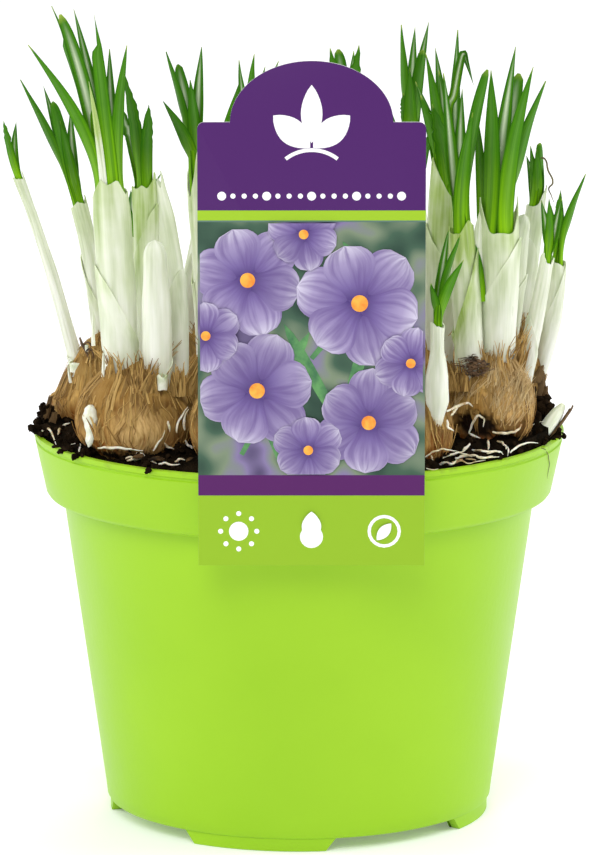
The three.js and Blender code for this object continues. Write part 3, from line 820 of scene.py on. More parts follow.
def makeCrumbs():
    c = compostSizes
    draw = randomFrom(4021)
    masters = [lumpMaster(f"crumbMaster{i}", 1, 5.3 * i) for i in range(3)]
    clodMasters = [lumpMaster(f"clodMaster{i}", 2, 3.7 * i) for i in range(2)]
    crumbs = []
    for i in range(c["crumbs"]):
        reach = c["edgeRadius"] * math.sqrt(draw())
        angle = draw(0, turn)
        x, y = reach * math.cos(angle), reach * math.sin(angle)
        size = 0.35 + 0.75 * draw() ** 2
        crumbs.append(scattered(masters[i % 3], Vector((x, y, roughSoil(x, y) + 0.3 * size)), size, draw))
    for i in range(c["clods"]):
        reach = c["clodRadius"] * math.sqrt(draw(0.1, 1))
        angle = draw(0, turn)
        x, y = reach * math.cos(angle), reach * math.sin(angle)
        size = draw(1.2, 2.4)
        crumbs.append(scattered(clodMasters[i % 2], Vector((x, y, roughSoil(x, y) + 0.1 * size)), size, draw))
    settle(joined("crumbs", crumbs), crumbPeat, "compost", smooth=50)
    # crumbs that rest on the lip, mostly at its left and right, and heap up where the compost is high
    spills = []
    for i in range(c["rimCrumbs"]):
        side = 0 if draw() < 0.5 else math.pi
        angle = side + draw(-0.75, 0.75) * draw() if i % 4 else draw(0, turn)
        reach = draw(56.2, 59.4)
        heap = 1.6 * max(0.0, math.cos(2 * (angle - side))) if i % 4 else 0.2
        z = 87.9 + draw(0, heap) - 0.5 * ease(reach, 58.5, 59.5)
        place = Vector((reach * math.cos(angle), reach * math.sin(angle), z))
        spills.append(scattered(masters[i % 3], place, draw(0.4, 1.1), draw))
    for x, y, z, size in c["heaps"]:
        for _ in range(c["perHeap"]):
            place = Vector((x + draw(-1.4, 1.4), y + draw(-1.6, 1.6), z + draw(-1.2, 0.6)))
            spills.append(scattered(masters[0], place, size * draw(0.45, 1), draw))
    settle(joined("rimCrumbs", spills), crumbPeat, "compost", smooth=50)
    discard(*masters, *clodMasters)


# ---- corms ----

bulb = {
    "halfHeight": 10.5, "sides": 14, "ridge": 0.04, "rootedDepth": 4,
    "frontFibres": 170, "backFibres": 80, "frontNeck": 110, "backNeck": 40, "flakes": 5,
    "frontCorms": (1, 2, 3, 4, 5, 6, 12), "silky": {5: 230}, "tilts": {1: 7.0},
    # places where a coat has come open, pushed in and given painted shade: a corm's number, then their
    # middle, reach and strength
    "hollows": {5: [(Vector((38.4, -28, 92.6)), 7.0, 1), (Vector((46.5, -28, 88.4)), 5.4, 1),
                    (Vector((48, -27, 90.4)), 7.5, 0.4)],
                1: [(Vector((-23.2, -28, 97)), 3.4, 1), (Vector((-47, -31, 95)), 5, 0.3)]},
    # places where a coat is matted with paler silk
    "pales": {5: (Vector((46.5, -27, 99.5)), 7.0), 1: (Vector((-34.5, -38.5, 91.5)), 9.0)},
}

# each corm: its centre on the compost with the height of its middle, and its radius
corms = [
    (Vector((-36, -25, 94.5)), 13.5), (Vector((-46.5, 1, 95)), 10), (Vector((-13, -37, 94.5)), 10.5),
    (Vector((-17, -5, 95)), 11), (Vector((42.5, -19, 95.5)), 10), (Vector((24.6, -38, 94.5)), 9.4),
    (Vector((-28, 25, 95)), 11), (Vector((1, 37, 95)), 11), (Vector((29, 25, 95)), 10.5),
    (Vector((6, 3, 95)), 12), (Vector((28, -3, 95)), 9.5), (Vector((46.8, 1.5, 97)), 8.3),
]


def swellOf(index):
    draw = randomFrom(11 + index)
    return [1 + bulb["ridge"] * (2 * draw() - 1) for _ in range(bulb["sides"])]


def swellAt(swell, angle):
    place = angle % turn / turn * len(swell)
    index = int(place) % len(swell)
    return between(swell[index], swell[(index + 1) % len(swell)], ease(place - int(place), 0, 1))


def coatPlace(index, angle, s, lift=0.0):
    # a point on a corm's coat; s runs from its underside to its top
    centre, radius = corms[index]
    around = radius * math.sin(math.pi * s) ** 0.8 * swellAt(swells[index], angle)
    reach = around + lift * math.sin(math.pi * s)
    z = -bulb["halfHeight"] * math.cos(math.pi * s) + 3 * ease(s, 0.75, 1) - lift * math.cos(math.pi * s)
    z += bulb["tilts"].get(index, 0) * math.cos(angle) * around / radius * ease(s, 0.45, 0.7)
    return centre + Vector((reach * math.cos(angle), reach * math.sin(angle), z))


def cormTop(index, x, y):
    centre, radius = corms[index]
    reach = math.hypot(x - centre.x, y - centre.y) / radius
    tilted = bulb["tilts"].get(index, 0) * (x - centre.x) / radius
    return centre.z + tilted + bulb["halfHeight"] * math.sqrt(max(0.05, 1 - reach * reach))


swells = [swellOf(index) for index in range(len(corms))]


def makeCormBody(index, master):
    draw = randomFrom(300 + index)
    shift = draw(0, 50)
    body = copyOf(master, draw())
    for vertex in body.data.vertices:
        co = vertex.co
        s = 0.04 + 0.92 * math.acos(max(-1.0, min(1.0, -co.z))) / math.pi
        angle = math.atan2(co.y, co.x)
        around = Vector((math.cos(angle), math.sin(angle)))
        sway = 0.3 * grain(around.x * 2, around.y * 2 + shift, s * 3)
        broad = 0.5 * grain(around.x * 4 + shift, around.y * 4, s * 2.2)
        folds = 0.2 * grain(around.x * 11 + shift, around.y * 11, s * 3 + sway * 4)
        fine = 0.1 * grain(around.x * 26 + shift, around.y * 26, s * 5 + sway * 6)
        vertex.co = coatPlace(index, angle, s, broad + folds + fine - 0.1)
    if index + 1 in bulb["hollows"]:
        depths = []
        for vertex in body.data.vertices:
            depth = 0.0
            for middle, reach, strength in bulb["hollows"][index + 1]:
                apart = vertex.co - middle
                apart.z *= 1.7
                away = apart.length / reach + 0.3 * grain(vertex.co.x, vertex.co.y, vertex.co.z)
                depth = max(depth, strength * (1 - ease(away, 0.6, 1.05)))
            vertex.co += (corms[index][0] - vertex.co) * 0.14 * depth
            depths.append(depth)
        # the same depths drive the painted shade of the hollow in the coat's finish
        mark(body, "hollowShade", depths)
    if index + 1 in bulb["pales"]:
        middle, reach = bulb["pales"][index + 1]
        mark(body, "silk", [1 - ease((vertex.co - middle).length / reach, 0.3, 1.05)
                            for vertex in body.data.vertices])
    return body


def besideHollow(index, angle, s):
    hollows = bulb["hollows"].get(index + 1, [])
    return all((coatPlace(index, angle, s) - middle).length > 0.8 * reach * strength
               for middle, reach, strength in hollows)


def coatFibre(index, master, angle, foot, reach, drift, lift, width, chance):
    # a thin strip of the coat that lies on the corm and comes loose at its upper end
    def place(u, v):
        turned = angle + drift * v + 0.06 * math.sin(7 * v + 9 * chance)
        s = min(0.93, foot + reach * v)
        centre = coatPlace(index, turned, s, 0.08 + 0.1 * ease(v, 0, 0.4) + lift * v ** 2.2)
        aside = Vector((-math.sin(turned), math.cos(turned), 0))
        half = 0.5 * width * (1 - 0.85 * v ** 2) * ease(v, -0.25, 0.15)
        return centre + aside * (2 * u - 1) * half
    return shaped(master, place, chance)


def neckFibre(index, master, angle, height, splay, width, chance, foot=0.66):
    # a strip that runs up the corm's shoulder and then stands free round the shoots
    def place(u, v):
        turned = angle + 0.25 * (chance - 0.5) * v
        onCoat = coatPlace(index, turned, foot + (0.86 - foot) * min(1.0, v / 0.45), 0.25)
        free = max(0.0, v - 0.45) / 0.55
        outward = roundAbout(turned)
        aside = Vector((-math.sin(turned), math.cos(turned), 0))
        centre = onCoat + up * height * free + outward * splay * height * free ** 2
        centre += aside * 0.12 * height * math.sin(3 * free + 11 * chance) * free
        half = 0.5 * width * (1 - 0.8 * v ** 2)
        return centre + aside * (2 * u - 1) * half
    return shaped(master, place, chance)


def coatScale(index, master, angle, foot, span, height, splay, chance, lean=0.0):
    # a papery scale of the coat: grows out of the shoulder and ends in a torn point
    def place(u, v):
        side = 2 * u - 1
        narrowing = 1 - ease(v, 0.3, 1.05) * (0.96 - 0.25 * (chance > 0.6))
        narrowing *= 0.12 + 0.88 * ease(v, 0, 0.4)
        turned = angle + 0.5 * span * side * narrowing + lean * v
        torn = 0.12 * grain(9 * u + 31 * chance, 6 * v, 2.2) * ease(v, 0.35, 0.9)
        ragged = 0.16 * grain(7 * u, 13 * chance, 0.6) * (1 - ease(v, 0, 0.4))
        s = foot + ragged + (0.84 - foot) * min(1.0, v / 0.55)
        buried = -1.0 + 1.25 * ease(v, 0, 0.5)
        onCoat = coatPlace(index, turned, s, buried + 0.25 * (1 - side * side) * ease(v, 0.1, 0.5))
        free = max(0.0, v + torn - 0.55) / 0.45
        outward = roundAbout(turned)
        return onCoat + up * height * free + outward * splay * height * free ** 1.6
    return shaped(master, place, chance)


def shoulderHeight(number, angle, least, most, draw):
    # how far a strip stands above the shoulder; the second corm's left side is bare
    height = draw(least, most)
    return height * (0.5 + 0.5 * math.cos(angle)) if number == 2 else height


def makeCorms():
    sphere = bpy.ops.mesh.primitive_uv_sphere_add
    plain = added(sphere, "plainMaster", segments=84, ring_count=42, radius=1, location=(0, 0, 0))
    fine = added(sphere, "fineMaster", segments=132, ring_count=58, radius=1, location=(0, 0, 0))
    strip = flatSheet("stripMaster", 1, 5)
    flake = flatSheet("flakeMaster", 9, 12)
    for index in range(len(corms)):
        number = index + 1
        draw = randomFrom(700 + index)
        side = "front" if number in bulb["frontCorms"] else "back"
        body = makeCormBody(index, fine if side == "front" else plain)
        settle(body, coat, "corm_coat", f"corm_{number:02d}", smooth=60)
        body.name = f"corm{number:02d}"
        loose = []
        for _ in range(bulb[side + "Fibres"]):
            angle, foot = draw(0, turn), draw(0.12, 0.66)
            if besideHollow(index, angle, foot + 0.1):
                loose.append(coatFibre(index, strip, angle, foot, draw(0.14, 0.4), draw(-0.35, 0.35),
                                       1.0 * draw() ** 4, draw(0.12, 0.38), draw()))
        hair = []
        for _ in range(bulb["silky"].get(number, 0)):
            angle, foot = draw(-2.7, -0.2), draw(0.42, 0.76)
            if besideHollow(index, angle, foot):
                hair.append(coatFibre(index, strip, angle, foot, draw(0.14, 0.3), draw(0.1, 0.7),
                                      1.2 * draw() ** 2, draw(0.1, 0.34), draw()))
        if hair:
            settleSheets(f"silkyHair{number:02d}", hair, 0.1, hairCoat, "corm_coat")
        for _ in range(bulb[side + "Neck"]):
            angle = draw(0, turn)
            height = shoulderHeight(number, angle, 1.5, 6, draw)
            loose.append(neckFibre(index, strip, angle, height, draw(-0.1, 0.7), draw(0.2, 0.6), draw(),
                                   draw(0.5, 0.74)))
        settleSheets(f"coatFibres{number:02d}", loose, 0.1, fibreCoat, "corm_coat")
        torn = []
        for i in range(bulb["flakes"]):
            angle = (i + draw(0, 0.7)) / bulb["flakes"] * turn
            height = shoulderHeight(number, angle, 0.8, 4.2, draw)
            torn.append(coatScale(index, flake, angle, draw(0.3, 0.5), draw(0.35, 0.85), height,
                                  draw(-0.2, 0.4), draw(), draw(-0.3, 0.3)))
        settleSheets(f"coatScales{number:02d}", torn, 0.08, coat, "corm_coat")
    discard(plain, fine, strip, flake)


# ---- shoots ----

# corm, base, mouth, girth, blade width and leaf tips follow the part's source. A tip's last word says how the
# leaf ends: blunt, spiked or ragged, and striped ones stand at the back and show their inner face. wrap tells
# how the outer papery layer ends: its low and high edge as parts of the length, and the side that it is high
# on, in turns. lip holds the mouth's lobes: the side in turns, the height and how far the lobe reaches
# dark marks a shoot whose leaves are painted darker, as painted shade
shoots = [
    {"corm": 2, "base": (-49.5, 1), "mouth": (-62.8, 2, 144), "girth": [1.65, 1.3, 1.05], "blade": 2.0,
     "tips": [(-66, -1, 157.5, "ragged"), (-63.5, 5, 156.5)], "wrap": (0.05, 0.12, 0.5), "green": 0.45},
    {"corm": 2, "base": (-44, 4), "mouth": (-49.5, 6, 137), "girth": [2, 2.1, 1.85], "bow": (1, 0),
     "blade": 3.1, "tips": [(-62.5, 4, 166), (-57.5, 9, 164), (-55, 1, 161.5, "blunt"),
                            (-51.5, 12, 159, "striped")],
     "extra": [(-53.5, 2, 157)], "wrap": (0.3, 0.7, 0.4), "green": 0.7, "dark": True,
     "lip": [(0.75, 1.2, 0.2)]},
    {"corm": 1, "base": (-39, -26), "mouth": (-41.5, -25, 144), "girth": [3.5, 4.2, 4.2], "blade": 3.5,
     "tips": [(-59, -31, 178), (-54.5, -23, 185.5, "spiked"), (-52, -29, 184.5, "striped blunt"),
              (-49.5, -18, 184.5), (-45, -29, 184.5, "spiked"), (-41.5, -21, 176, "striped"),
              (-37.5, -27, 177.5), (-48.5, -14, 174)],
     "extra": [(-38, -24, 171)],
     "wrap": (0.24, 0.66, 0.52), "green": 0.8, "lip": [(0.68, 4.2, 0.14), (0.83, 3.6, 0.1), (0.2, 2.5, 0.2)]},
    {"corm": 1, "base": (-33, -19), "mouth": (-34.3, -15.5, 144), "girth": [2.3, 2.75, 2.7], "blade": 3.3,
     "tips": [(-33, -20, 163.5, "ragged"), (-34, -10, 160), (-40, -9, 162, "ragged"),
              (-38.5, -15, 169.5, "ragged")],
     "wrap": (0.62, 0.93, 0.95), "green": 1.0, "dark": True, "lip": [(0.95, 3.5, 0.16), (0.72, 1.2, 0.1)]},
    {"corm": 1, "base": (-31, -30), "mouth": (-31.5, -31, 130), "girth": [2.6, 3.2, 3.2, 2.6],
     "closed": True, "wrap": (0.12, 0.3, 0.1), "green": 0.25},
    {"corm": 1, "base": (-27, -21), "mouth": (-31.2, -13, 143), "girth": [2, 2.7, 2.9, 2.3],
     "bow": (2, 0), "tips": [], "wrap": (0.35, 0.62, 0.9), "green": 0.5,
     "lip": [(0.93, 4.5, 0.12), (0.74, 3, 0.1), (0.5, 2, 0.15), (0.2, 3.5, 0.12)]},
    {"corm": 4, "base": (-20.5, -7), "mouth": (-23, -8, 147.5), "girth": [1.9, 2.1, 2.1], "blade": 3.3,
     "tips": [(-29.5, -10, 174), (-27, -4, 170.5, "blunt"), (-21.5, -9, 175, "striped"), (-30, -15, 163.5)],
     "extra": [(-24, -12, 168)], "wrap": (0.45, 0.8, 0.05), "green": 0.8, "rooted": 9, "dark": True,
     "lip": [(0.6, -6.5, 0.2), (0.86, 2.5, 0.2)]},
    {"corm": 10, "base": (1, 1), "mouth": (-9, 4, 146), "girth": [2.2, 2.3, 2.1], "blade": 3,
     "tips": [(-13.5, 8, 170), (-10, 3, 172), (-4.5, 10, 169.5), (-7, -2, 160)], "wrap": (0.3, 0.7, 0.3),
     "extra": [(-7.5, 5, 169, "striped")]},
    {"corm": 10, "base": (9, 7), "mouth": (10.5, 12, 146), "girth": [2.4, 2.6, 2.4], "blade": 3.6,
     "tips": [(7, 10, 172.5, "ragged"), (9, 16, 171.5, "blunt"), (12.5, 17, 171, "striped"),
              (13.6, 11, 173, "ragged")], "wrap": (0.35, 0.65, 0.2)},
    {"corm": 9, "base": (27, 22), "mouth": (25.5, 16, 148), "girth": [2.3, 2.4, 2.2], "blade": 3.2,
     "tips": [(23, 12, 177.5), (26.3, 17, 176.5, "striped"), (29.5, 21, 177), (28, 10, 172, "blunt")],
     "extra": [(25, 9, 168), (23.5, 12, 162, "ragged")], "wrap": (0.3, 0.72, 0.6)},
    {"corm": 11, "base": (31, -4), "mouth": (32.5, -6, 141), "girth": [3.2, 3.6, 3.5], "slant": 1.3,
     "blade": 3.6, "tips": [(28, -12, 174), (30.3, -6, 174.5, "striped"), (35.5, -2, 178), (26, -3, 166.5),
                            (29.5, -16, 163, "ragged")],
     "extra": [(27, -8, 164, "pale ragged"), (31, -11, 170, "striped")], "wrap": (0.5, 0.85, 0.5),
     "green": 1.0, "lip": [(0.56, 9.5, 0.3), (0.02, -5, 0.3)]},
    {"corm": 5, "base": (38, -22.5), "mouth": (35.9, -22, 136), "girth": [2.9, 3.1, 2.9], "blade": 3.4,
     "depth": 1.8, "tips": [(41.3, -26, 172, "blunt"), (31.7, -20, 170.5), (38, -30, 163)],
     "over": [[(33, -18, 160), (34.2, -17.5, 165.6), (35.3, -17, 171.5), (36.2, -17, 174.6),
               (37.1, -16, 172.2), (38.6, -15, 167.2)]],
     "extra": [(36, -19, 167, "striped")], "wrap": (0.3, 0.88, 0.0), "green": 1.35,
     "lip": [(0.85, 2.6, 0.12), (0.62, -1, 0.2)]},
    {"corm": 5, "base": (44.5, -19.5), "mouth": (44.3, -20, 135.5), "girth": [3.0, 3.9, 4.6], "blade": 4.2,
     "tips": [(47.4, -25, 177, "striped"), (48.5, -16, 170, "striped blunt"), (51.4, -24, 172.4),
              (54.5, -18, 168.5), (42.1, -23, 171.5)],
     "extra": [(46.5, -14, 162)],
     "wrap": (0.5, 0.96, 0.98), "green": 0.7, "rooted": 8,
     "lip": [(0.5, 7, 0.15), (0.02, 6.5, 0.15), (0.25, 4, 0.2)]},
    {"corm": 12, "base": (45.5, -4), "mouth": (49.8, -7, 134), "girth": [2.3, 2.8, 2.7, 1.7], "closed": True,
     "wrap": (0.4, 0.7, 0.0), "green": 0.5},
    {"corm": 12, "base": (47.5, 5), "mouth": (53.4, 7, 137), "girth": [2.4, 2.6, 2.0], "blade": 2.6,
     "bow": (1.6, 0),
     "tips": [(52, 4, 151), (54.3, 6, 151.5, "blunt"), (51.4, 10, 148)],
     "extra": [(53.4, 3, 150.4), (54.8, 8, 149)],
     "wrap": (0.4, 0.8, 0.7), "green": 0.5, "lip": [(0.97, 4.5, 0.16)]},
    {"corm": 12, "base": (49.6, -6), "mouth": (55.3, -11, 127.5), "girth": [1.7, 1.9, 1.4], "bow": (1, 0),
     "blade": 2.4, "tips": [(55.5, -14, 142), (54, -8, 140.5), (58.5, -12, 141.5, "striped")],
     "wrap": (0.3, 0.6, 0.55), "green": 0.3},
    {"corm": 12, "base": (53.8, 3), "mouth": (58.3, 2, 125), "girth": [1.7, 2.1, 1.7], "blade": 2.7,
     "bow": (2.4, 0), "tips": [(64.3, -2, 145.5), (59, 5, 141), (56.5, 0, 138)],
     "extra": [(58.5, -1, 141, "pale ragged")], "wrap": (0.45, 1.0, 0.0), "green": 0.5},
    {"corm": 6, "base": (30, -44), "mouth": (30.2, -44.5, 118.5), "girth": [1.1, 2.6, 2.5, 1.5, 1.3],
     "blade": 2.7, "tips": [(32.6, -42, 139.5), (35, -46, 138.5), (35.6, -49, 133.5), (28.5, -47, 128)],
     "green": 0.3},
    {"corm": 7, "base": (-27, 22), "mouth": (-20.5, 21, 138), "girth": [2, 2.1, 1.9], "blade": 3,
     "tips": [(-13, 16, 165), (-22, 26, 150), (-17, 27, 151), (-20, 15, 148)], "wrap": (0.3, 0.7, 0.8)},
    {"corm": 7, "base": (-31, 30), "mouth": (-37, 36, 124), "girth": [2.1, 2.2, 2], "blade": 3,
     "whorl": (4, 4.5, 15), "wrap": (0.3, 0.6, 0.4)},
    {"corm": 8, "base": (1, 38), "mouth": (1, 43, 131), "girth": [2.6, 2.8, 2.7], "blade": 3.4,
     "whorl": (5, 9, 22), "wrap": (0.35, 0.8, 0.25)},
    {"corm": 9, "base": (31, 29), "mouth": (27, 33, 133), "girth": [2.3, 2.4, 2.2], "blade": 3.2,
     "tips": [(21, 26, 156), (31, 38, 150), (24, 42, 147), (30, 27, 151)], "wrap": (0.3, 0.7, 0.1)},
    {"corm": 3, "base": (-13, -36), "mouth": (-10, -38, 127), "girth": [2.3, 2.5, 2.3], "blade": 3.2,
     "whorl": (4, 7, 22), "wrap": (0.3, 0.6, 0.6)},
]

sheathLook = {"paper": 0.22, "usualSlant": 0.5, "veinDepth": 0.04, "usualGreen": 0.6, "body": 0.8}
bladeLook = {
    "keel": 0.85, "thickness": 0.32, "hidden": 0.14, "rootedDepth": 5.0, "bundle": 0.84, "layer": 0.42,
    "overWidth": 0.6, "spread": 1.9,
}


def sheathCurve(shoot):
    index = shoot["corm"] - 1
    x, y = shoot["base"]
    base = Vector((x, y, cormTop(index, x, y) - shoot.get("depth", bulb["rootedDepth"])))
    mouth = Vector(shoot["mouth"])
    bow = shoot.get("bow", (0, 0))
    middle = base.lerp(mouth, 0.5)
    middle.x += bow[0] + 0.12 * (base.x - mouth.x)
    middle.y += bow[1] + 0.12 * (base.y - mouth.y)
    return arc(base, middle, mouth)


def crossAxes(along):
    side = (Vector((1, 0, 0)) - along * along.x).normalized()
    return side, along.cross(side)


def outwardFrom(along, angle):
    # the direction that points away from a stem at an angle round it
    side, front = crossAxes(along)
    return side * math.cos(angle) + front * math.sin(angle)


def bundleRadius(shoot):
    return bladeLook["bundle"] * shoot["girth"][-1]


def sheathRadius(shoot, v):
    # the girth along a sheath; an open one closes in on its leaves and a closed one ends in a blunt point
    girth = shoot["girth"]
    body = sheathLook["body"]
    if not shoot.get("closed"):
        empty = not (shoot.get("tips") or shoot.get("whorl"))
        mouthSize = 0.75 * girth[-1] if empty else bundleRadius(shoot) + 0.4
        return between(sample(girth, v), mouthSize, ease(v, 0.84, 0.99))
    if v < body:
        return sample(girth, v / body)
    past = (v - body) / (1 - body)
    return girth[-1] * math.sqrt(max(0.0, 1 - past ** 2.4))


def lipRise(shoot, u, ripple):
    # how far the mouth's edge stands above or below its middle at a side of the sheath
    if "lip" not in shoot:
        slant = shoot.get("slant", sheathLook["usualSlant"]) * shoot["girth"][-1]
        return slant * math.cos(turn * u - math.pi) + ripple
    rise = ripple
    for side, height, reach in shoot["lip"]:
        away = abs((u - side + 0.5) % 1 - 0.5)
        rise += height * max(0.0, 1 - away / reach) ** 1.15
    return rise


def makeSheath(index, shoot, roll, master):
    draw = randomFrom(1300 + index)
    curve = sheathCurve(shoot)
    closed = shoot.get("closed", False)
    ends = [draw(0, 1) for _ in range(3)]
    heights = [draw(0.5, 1.6) for _ in range(3)]
    phase = draw(0, turn)
    chance = shoot.get("green", sheathLook["usualGreen"])
    body = sheathLook["body"]

    def tornEdge(u):
        # pointed lobes with small tears between them
        edge = 0.3 * grain(16 * u + 9 * phase, 4.4, 1.1)
        for end, height in zip(ends, heights):
            away = abs((u - end + 0.5) % 1 - 0.5)
            edge += height * max(0.0, 1 - away / 0.12) ** 1.3
        return edge

    def axisAt(v):
        if not closed or v <= body:
            return curve(v if not closed else v / body)
        point, along = curve(1.0)
        return point + along * 2.0 * shoot["girth"][-1] * (v - body) / (1 - body), along

    def place(u, v):
        angle = turn * u
        point, along = axisAt(v)
        veins = sheathLook["veinDepth"] * math.sin(13 * angle + phase)
        lumps = 0.2 * grain(1.4 * math.cos(angle) + phase, 1.4 * math.sin(angle), 5 * v)
        taper = 1.0 if not closed else max(0.05, 1 - ease(v, 0.9, 1))
        radius = max(0.02, sheathRadius(shoot, v) + (veins + lumps) * taper)
        rise = 0.0
        if not closed:
            rise = lipRise(shoot, u, tornEdge(u)) * ease(v, 0.74, 1.0)
        return point + outwardFrom(along, angle) * radius + along * rise

    layers = [shaped(roll, place, chance)]
    mergeDoubles(layers[0])
    if "wrap" in shoot:
        low, high, highSide = shoot["wrap"]
        start = (highSide + 0.5) % 1

        def wrapPlace(u, v):
            # a sheet rolled a little more than once round, with its overlap on the low side
            around = start + 1.06 * u
            angle = turn * around
            away = abs((around - highSide + 0.5) % 1 - 0.5) * 2
            edge = between(high, low, ease(away, 0, 1)) + 0.012 * grain(14 * u, 3.3 * index, 0.7)
            t = min(1.0, edge) * v
            point, along = curve(t)
            flare = 0.25 * ease(v, 0.8, 1.0) * chance
            radius = sample(shoot["girth"], t) + 0.12 + 0.2 * u + flare
            radius += 0.14 * grain(2 * math.cos(angle) + phase, 2 * math.sin(angle), 6 * v)
            return point + outwardFrom(along, angle) * radius
        layers.append(shaped(master, wrapPlace, 0.7 * chance))
    settleSheets(f"sheath{index + 1:02d}", layers, sheathLook["paper"], silkySheath, "pale_sheath",
                 f"sheath_{index + 1:02d}", offset=-1)


def leafEnds(index, shoot):
    if "whorl" not in shoot:
        return shoot["tips"] + shoot.get("extra", [])
    draw = randomFrom(31 + index + 900)
    count, spread, rise = shoot["whorl"]
    x, y, z = shoot["mouth"]
    ends = []
    for i in range(count):
        angle = (i + 0.5 * draw()) / count * turn
        reach = spread * (0.7 + 0.5 * draw())
        ends.append((x + reach * math.cos(angle), y + reach * math.sin(angle),
                     z + rise * (0.8 + 0.35 * draw())))
    return ends


def leafEdges(kind, v, chance):
    # the left and right edge of a leaf at a height, as parts of half its width
    if "blunt" in kind:
        full = 1 - 0.45 * max(0.0, (v - 0.6) / 0.4) ** 3
        full *= math.sqrt(max(0.0, 1 - max(0.0, (v - 0.97) / 0.032) ** 2))
        cut = 0.25 * ease(v, 0.93, 0.99) * (1 if chance > 0.5 else -1)
        return -full + max(0.0, cut) * full, full + min(0.0, cut) * full
    if "spiked" in kind:
        full = 1 - 0.4 * max(0.0, (v - 0.45) / 0.55) ** 1.8
        spike = ease(v, 0.84, 0.88)
        left = between(-full, 0.1, spike)
        right = full * (1 - 0.35 * ease(v, 0.86, 1))
        narrow = max(0.04, 1 - max(0.0, (v - 0.86) / 0.14) ** 1.3)
        middle = 0.5 * (left + right)
        half = 0.5 * (right - left) * narrow
        return middle - half, middle + half
    full = 1 - max(0.0, (v - 0.42) / 0.58) ** 2.2
    if "ragged" in kind:
        full = 1 - max(0.0, (v - 0.72) / 0.28) ** 2
        torn = 0.45 * ease(v, 0.55, 0.8) * full
        left = -full + max(0.0, torn * (0.3 + grain(30 * v, 20 * chance, 0.4)))
        right = full - max(0.0, torn * (0.3 + grain(30 * v, 20 * chance, 7.4)))
        return min(left, -0.02), max(right, 0.02)
    return -max(0.02, full), max(0.02, full)


def makeBlade(master, route, width, outAt, kind, radius, chance):
    # a leaf that is rolled round its bundle at the foot and keeled further up
    def place(u, v):
        point, along = route(v)
        out = outAt(v)
        out = (out - along * along.dot(out)).normalized()
        across = along.cross(out)
        left, right = leafEdges(kind, v, chance)
        side = between(left, right, u)
        footWidth = 1 + 0.16 * (1 - ease(v, 0.1, 0.6))
        half = 0.5 * width * footWidth
        rolled = 1 - ease(v, 0.16, 0.55)
        angle = side * half / radius
        depth = bladeLook["keel"] * min(1.0, 2.2 * (right - left) / 2)
        ridge = 0.2 - 0.95 * (math.sqrt(side * side + 0.03) - 0.17)
        wave = 0.1 * math.sin(8 * v + 20 * chance) * side
        keeled = across * side * half + out * (depth * ridge + wave * half)
        wrapped = across * math.sin(angle) * radius + out * (math.cos(angle) - 1) * radius
        return point + keeled * (1 - rolled) + wrapped * rolled
    return shaped(master, place, chance)


def spreadRound(angles):
    # pushes leaves that would start at the same side of their bundle apart
    order = sorted(range(len(angles)), key=lambda i: angles[i])
    count = len(order)
    offset = sum(angles[i] - k / count * turn for k, i in enumerate(order)) / count
    placed = list(angles)
    for k, i in enumerate(order):
        placed[i] = between(angles[i], offset + k / count * turn, 0.55)
    return placed


def makeBlades(index, shoot, master):
    curve = sheathCurve(shoot)
    mouth, along = curve(1.0)
    side, front = crossAxes(along)
    draw = randomFrom(1700 + index)
    bundle = bundleRadius(shoot)
    hidden = bladeLook["hidden"]
    rooted = shoot.get("rooted", bladeLook["rootedDepth"])
    ends = leafEnds(index, shoot)
    tips = [Vector(end[:3]) for end in ends]
    kinds = [end[3] if len(end) > 3 else "" for end in ends]
    top = sum(tips, Vector()) / len(tips)
    height = (top - mouth).length
    axis = arc(mouth, mouth + along * 0.4 * height, top)
    angles = []
    for tip, kind in zip(tips, kinds):
        lean = tip - top
        depthwise = lean.dot(front)
        if "striped" in kind:
            depthwise = abs(depthwise) + 2
        angles.append(math.atan2(depthwise, lean.dot(side)) % turn)
    blades = []
    for i, (tip, kind, angle) in enumerate(zip(tips, kinds, spreadRound(angles))):
        radial = side * math.cos(angle) + front * math.sin(angle)
        share = (tip.z - mouth.z) / (top.z - mouth.z)
        radius = max(0.5, bundle - bladeLook["layer"] * (i % 2) - 0.15)
        facing = radial * 0.5 + Vector((0, 0.85 if radial.y > 0.2 else -0.85, 0))

        def route(v, tip=tip, share=share, radius=radius, radial=radial):
            def at(place):
                if place < hidden:
                    return mouth - along * rooted * (1 - place / hidden) + radial * radius
                t = (place - hidden) / (1 - hidden)
                spread = (tip - axis(share)[0]) * t ** bladeLook["spread"]
                return axis(share * t)[0] + spread + radial * radius * max(0.0, 1 - t) ** 1.2
            return at(v), (at(v + 0.01) - at(v - 0.01)).normalized()

        def outAt(v, radial=radial, facing=facing):
            return radial.lerp(facing, 0.85 * ease(v, 0.2, 0.7))
        width = shoot["blade"] * (0.85 if "pale" in kind else draw(0.9, 1.06))
        # a shoot marked dark draws a low tone, so its leaves are painted darker: painted shade
        tone = 0.3 * draw() if shoot.get("dark") else draw(0.35, 1)
        blades.append(makeBlade(master, route, width, outAt, kind, max(1.0, radius), tone))
    for bend in shoot.get("over", []):
        points = [mouth - along * 5, mouth + along * 0.4, *[Vector(p) for p in bend]]
        toBack = Vector((0, 1, 0))
        width = bladeLook["overWidth"] * shoot["blade"]
        blades.append(makeBlade(master, through(points), width, lambda v: toBack, "", 2, draw()))
    settleSheets(f"leaves{index + 1:02d}", blades, bladeLook["thickness"], (leafOutside, leafInside),
                 "green_leaf", f"leaves_{index + 1:02d}", offset=-1, smooth=60)


def makeShoots():
    roll = flatSheet("rollMaster", 56, 34)
    wrap = flatSheet("wrapMaster", 48, 18)
    blade = flatSheet("bladeMaster", 8, 40)
    for index, shoot in enumerate(shoots):
        makeSheath(index, shoot, roll, wrap)
        if shoot.get("whorl") or shoot.get("tips"):
            makeBlades(index, shoot, blade)
    discard(roll, wrap, blade)
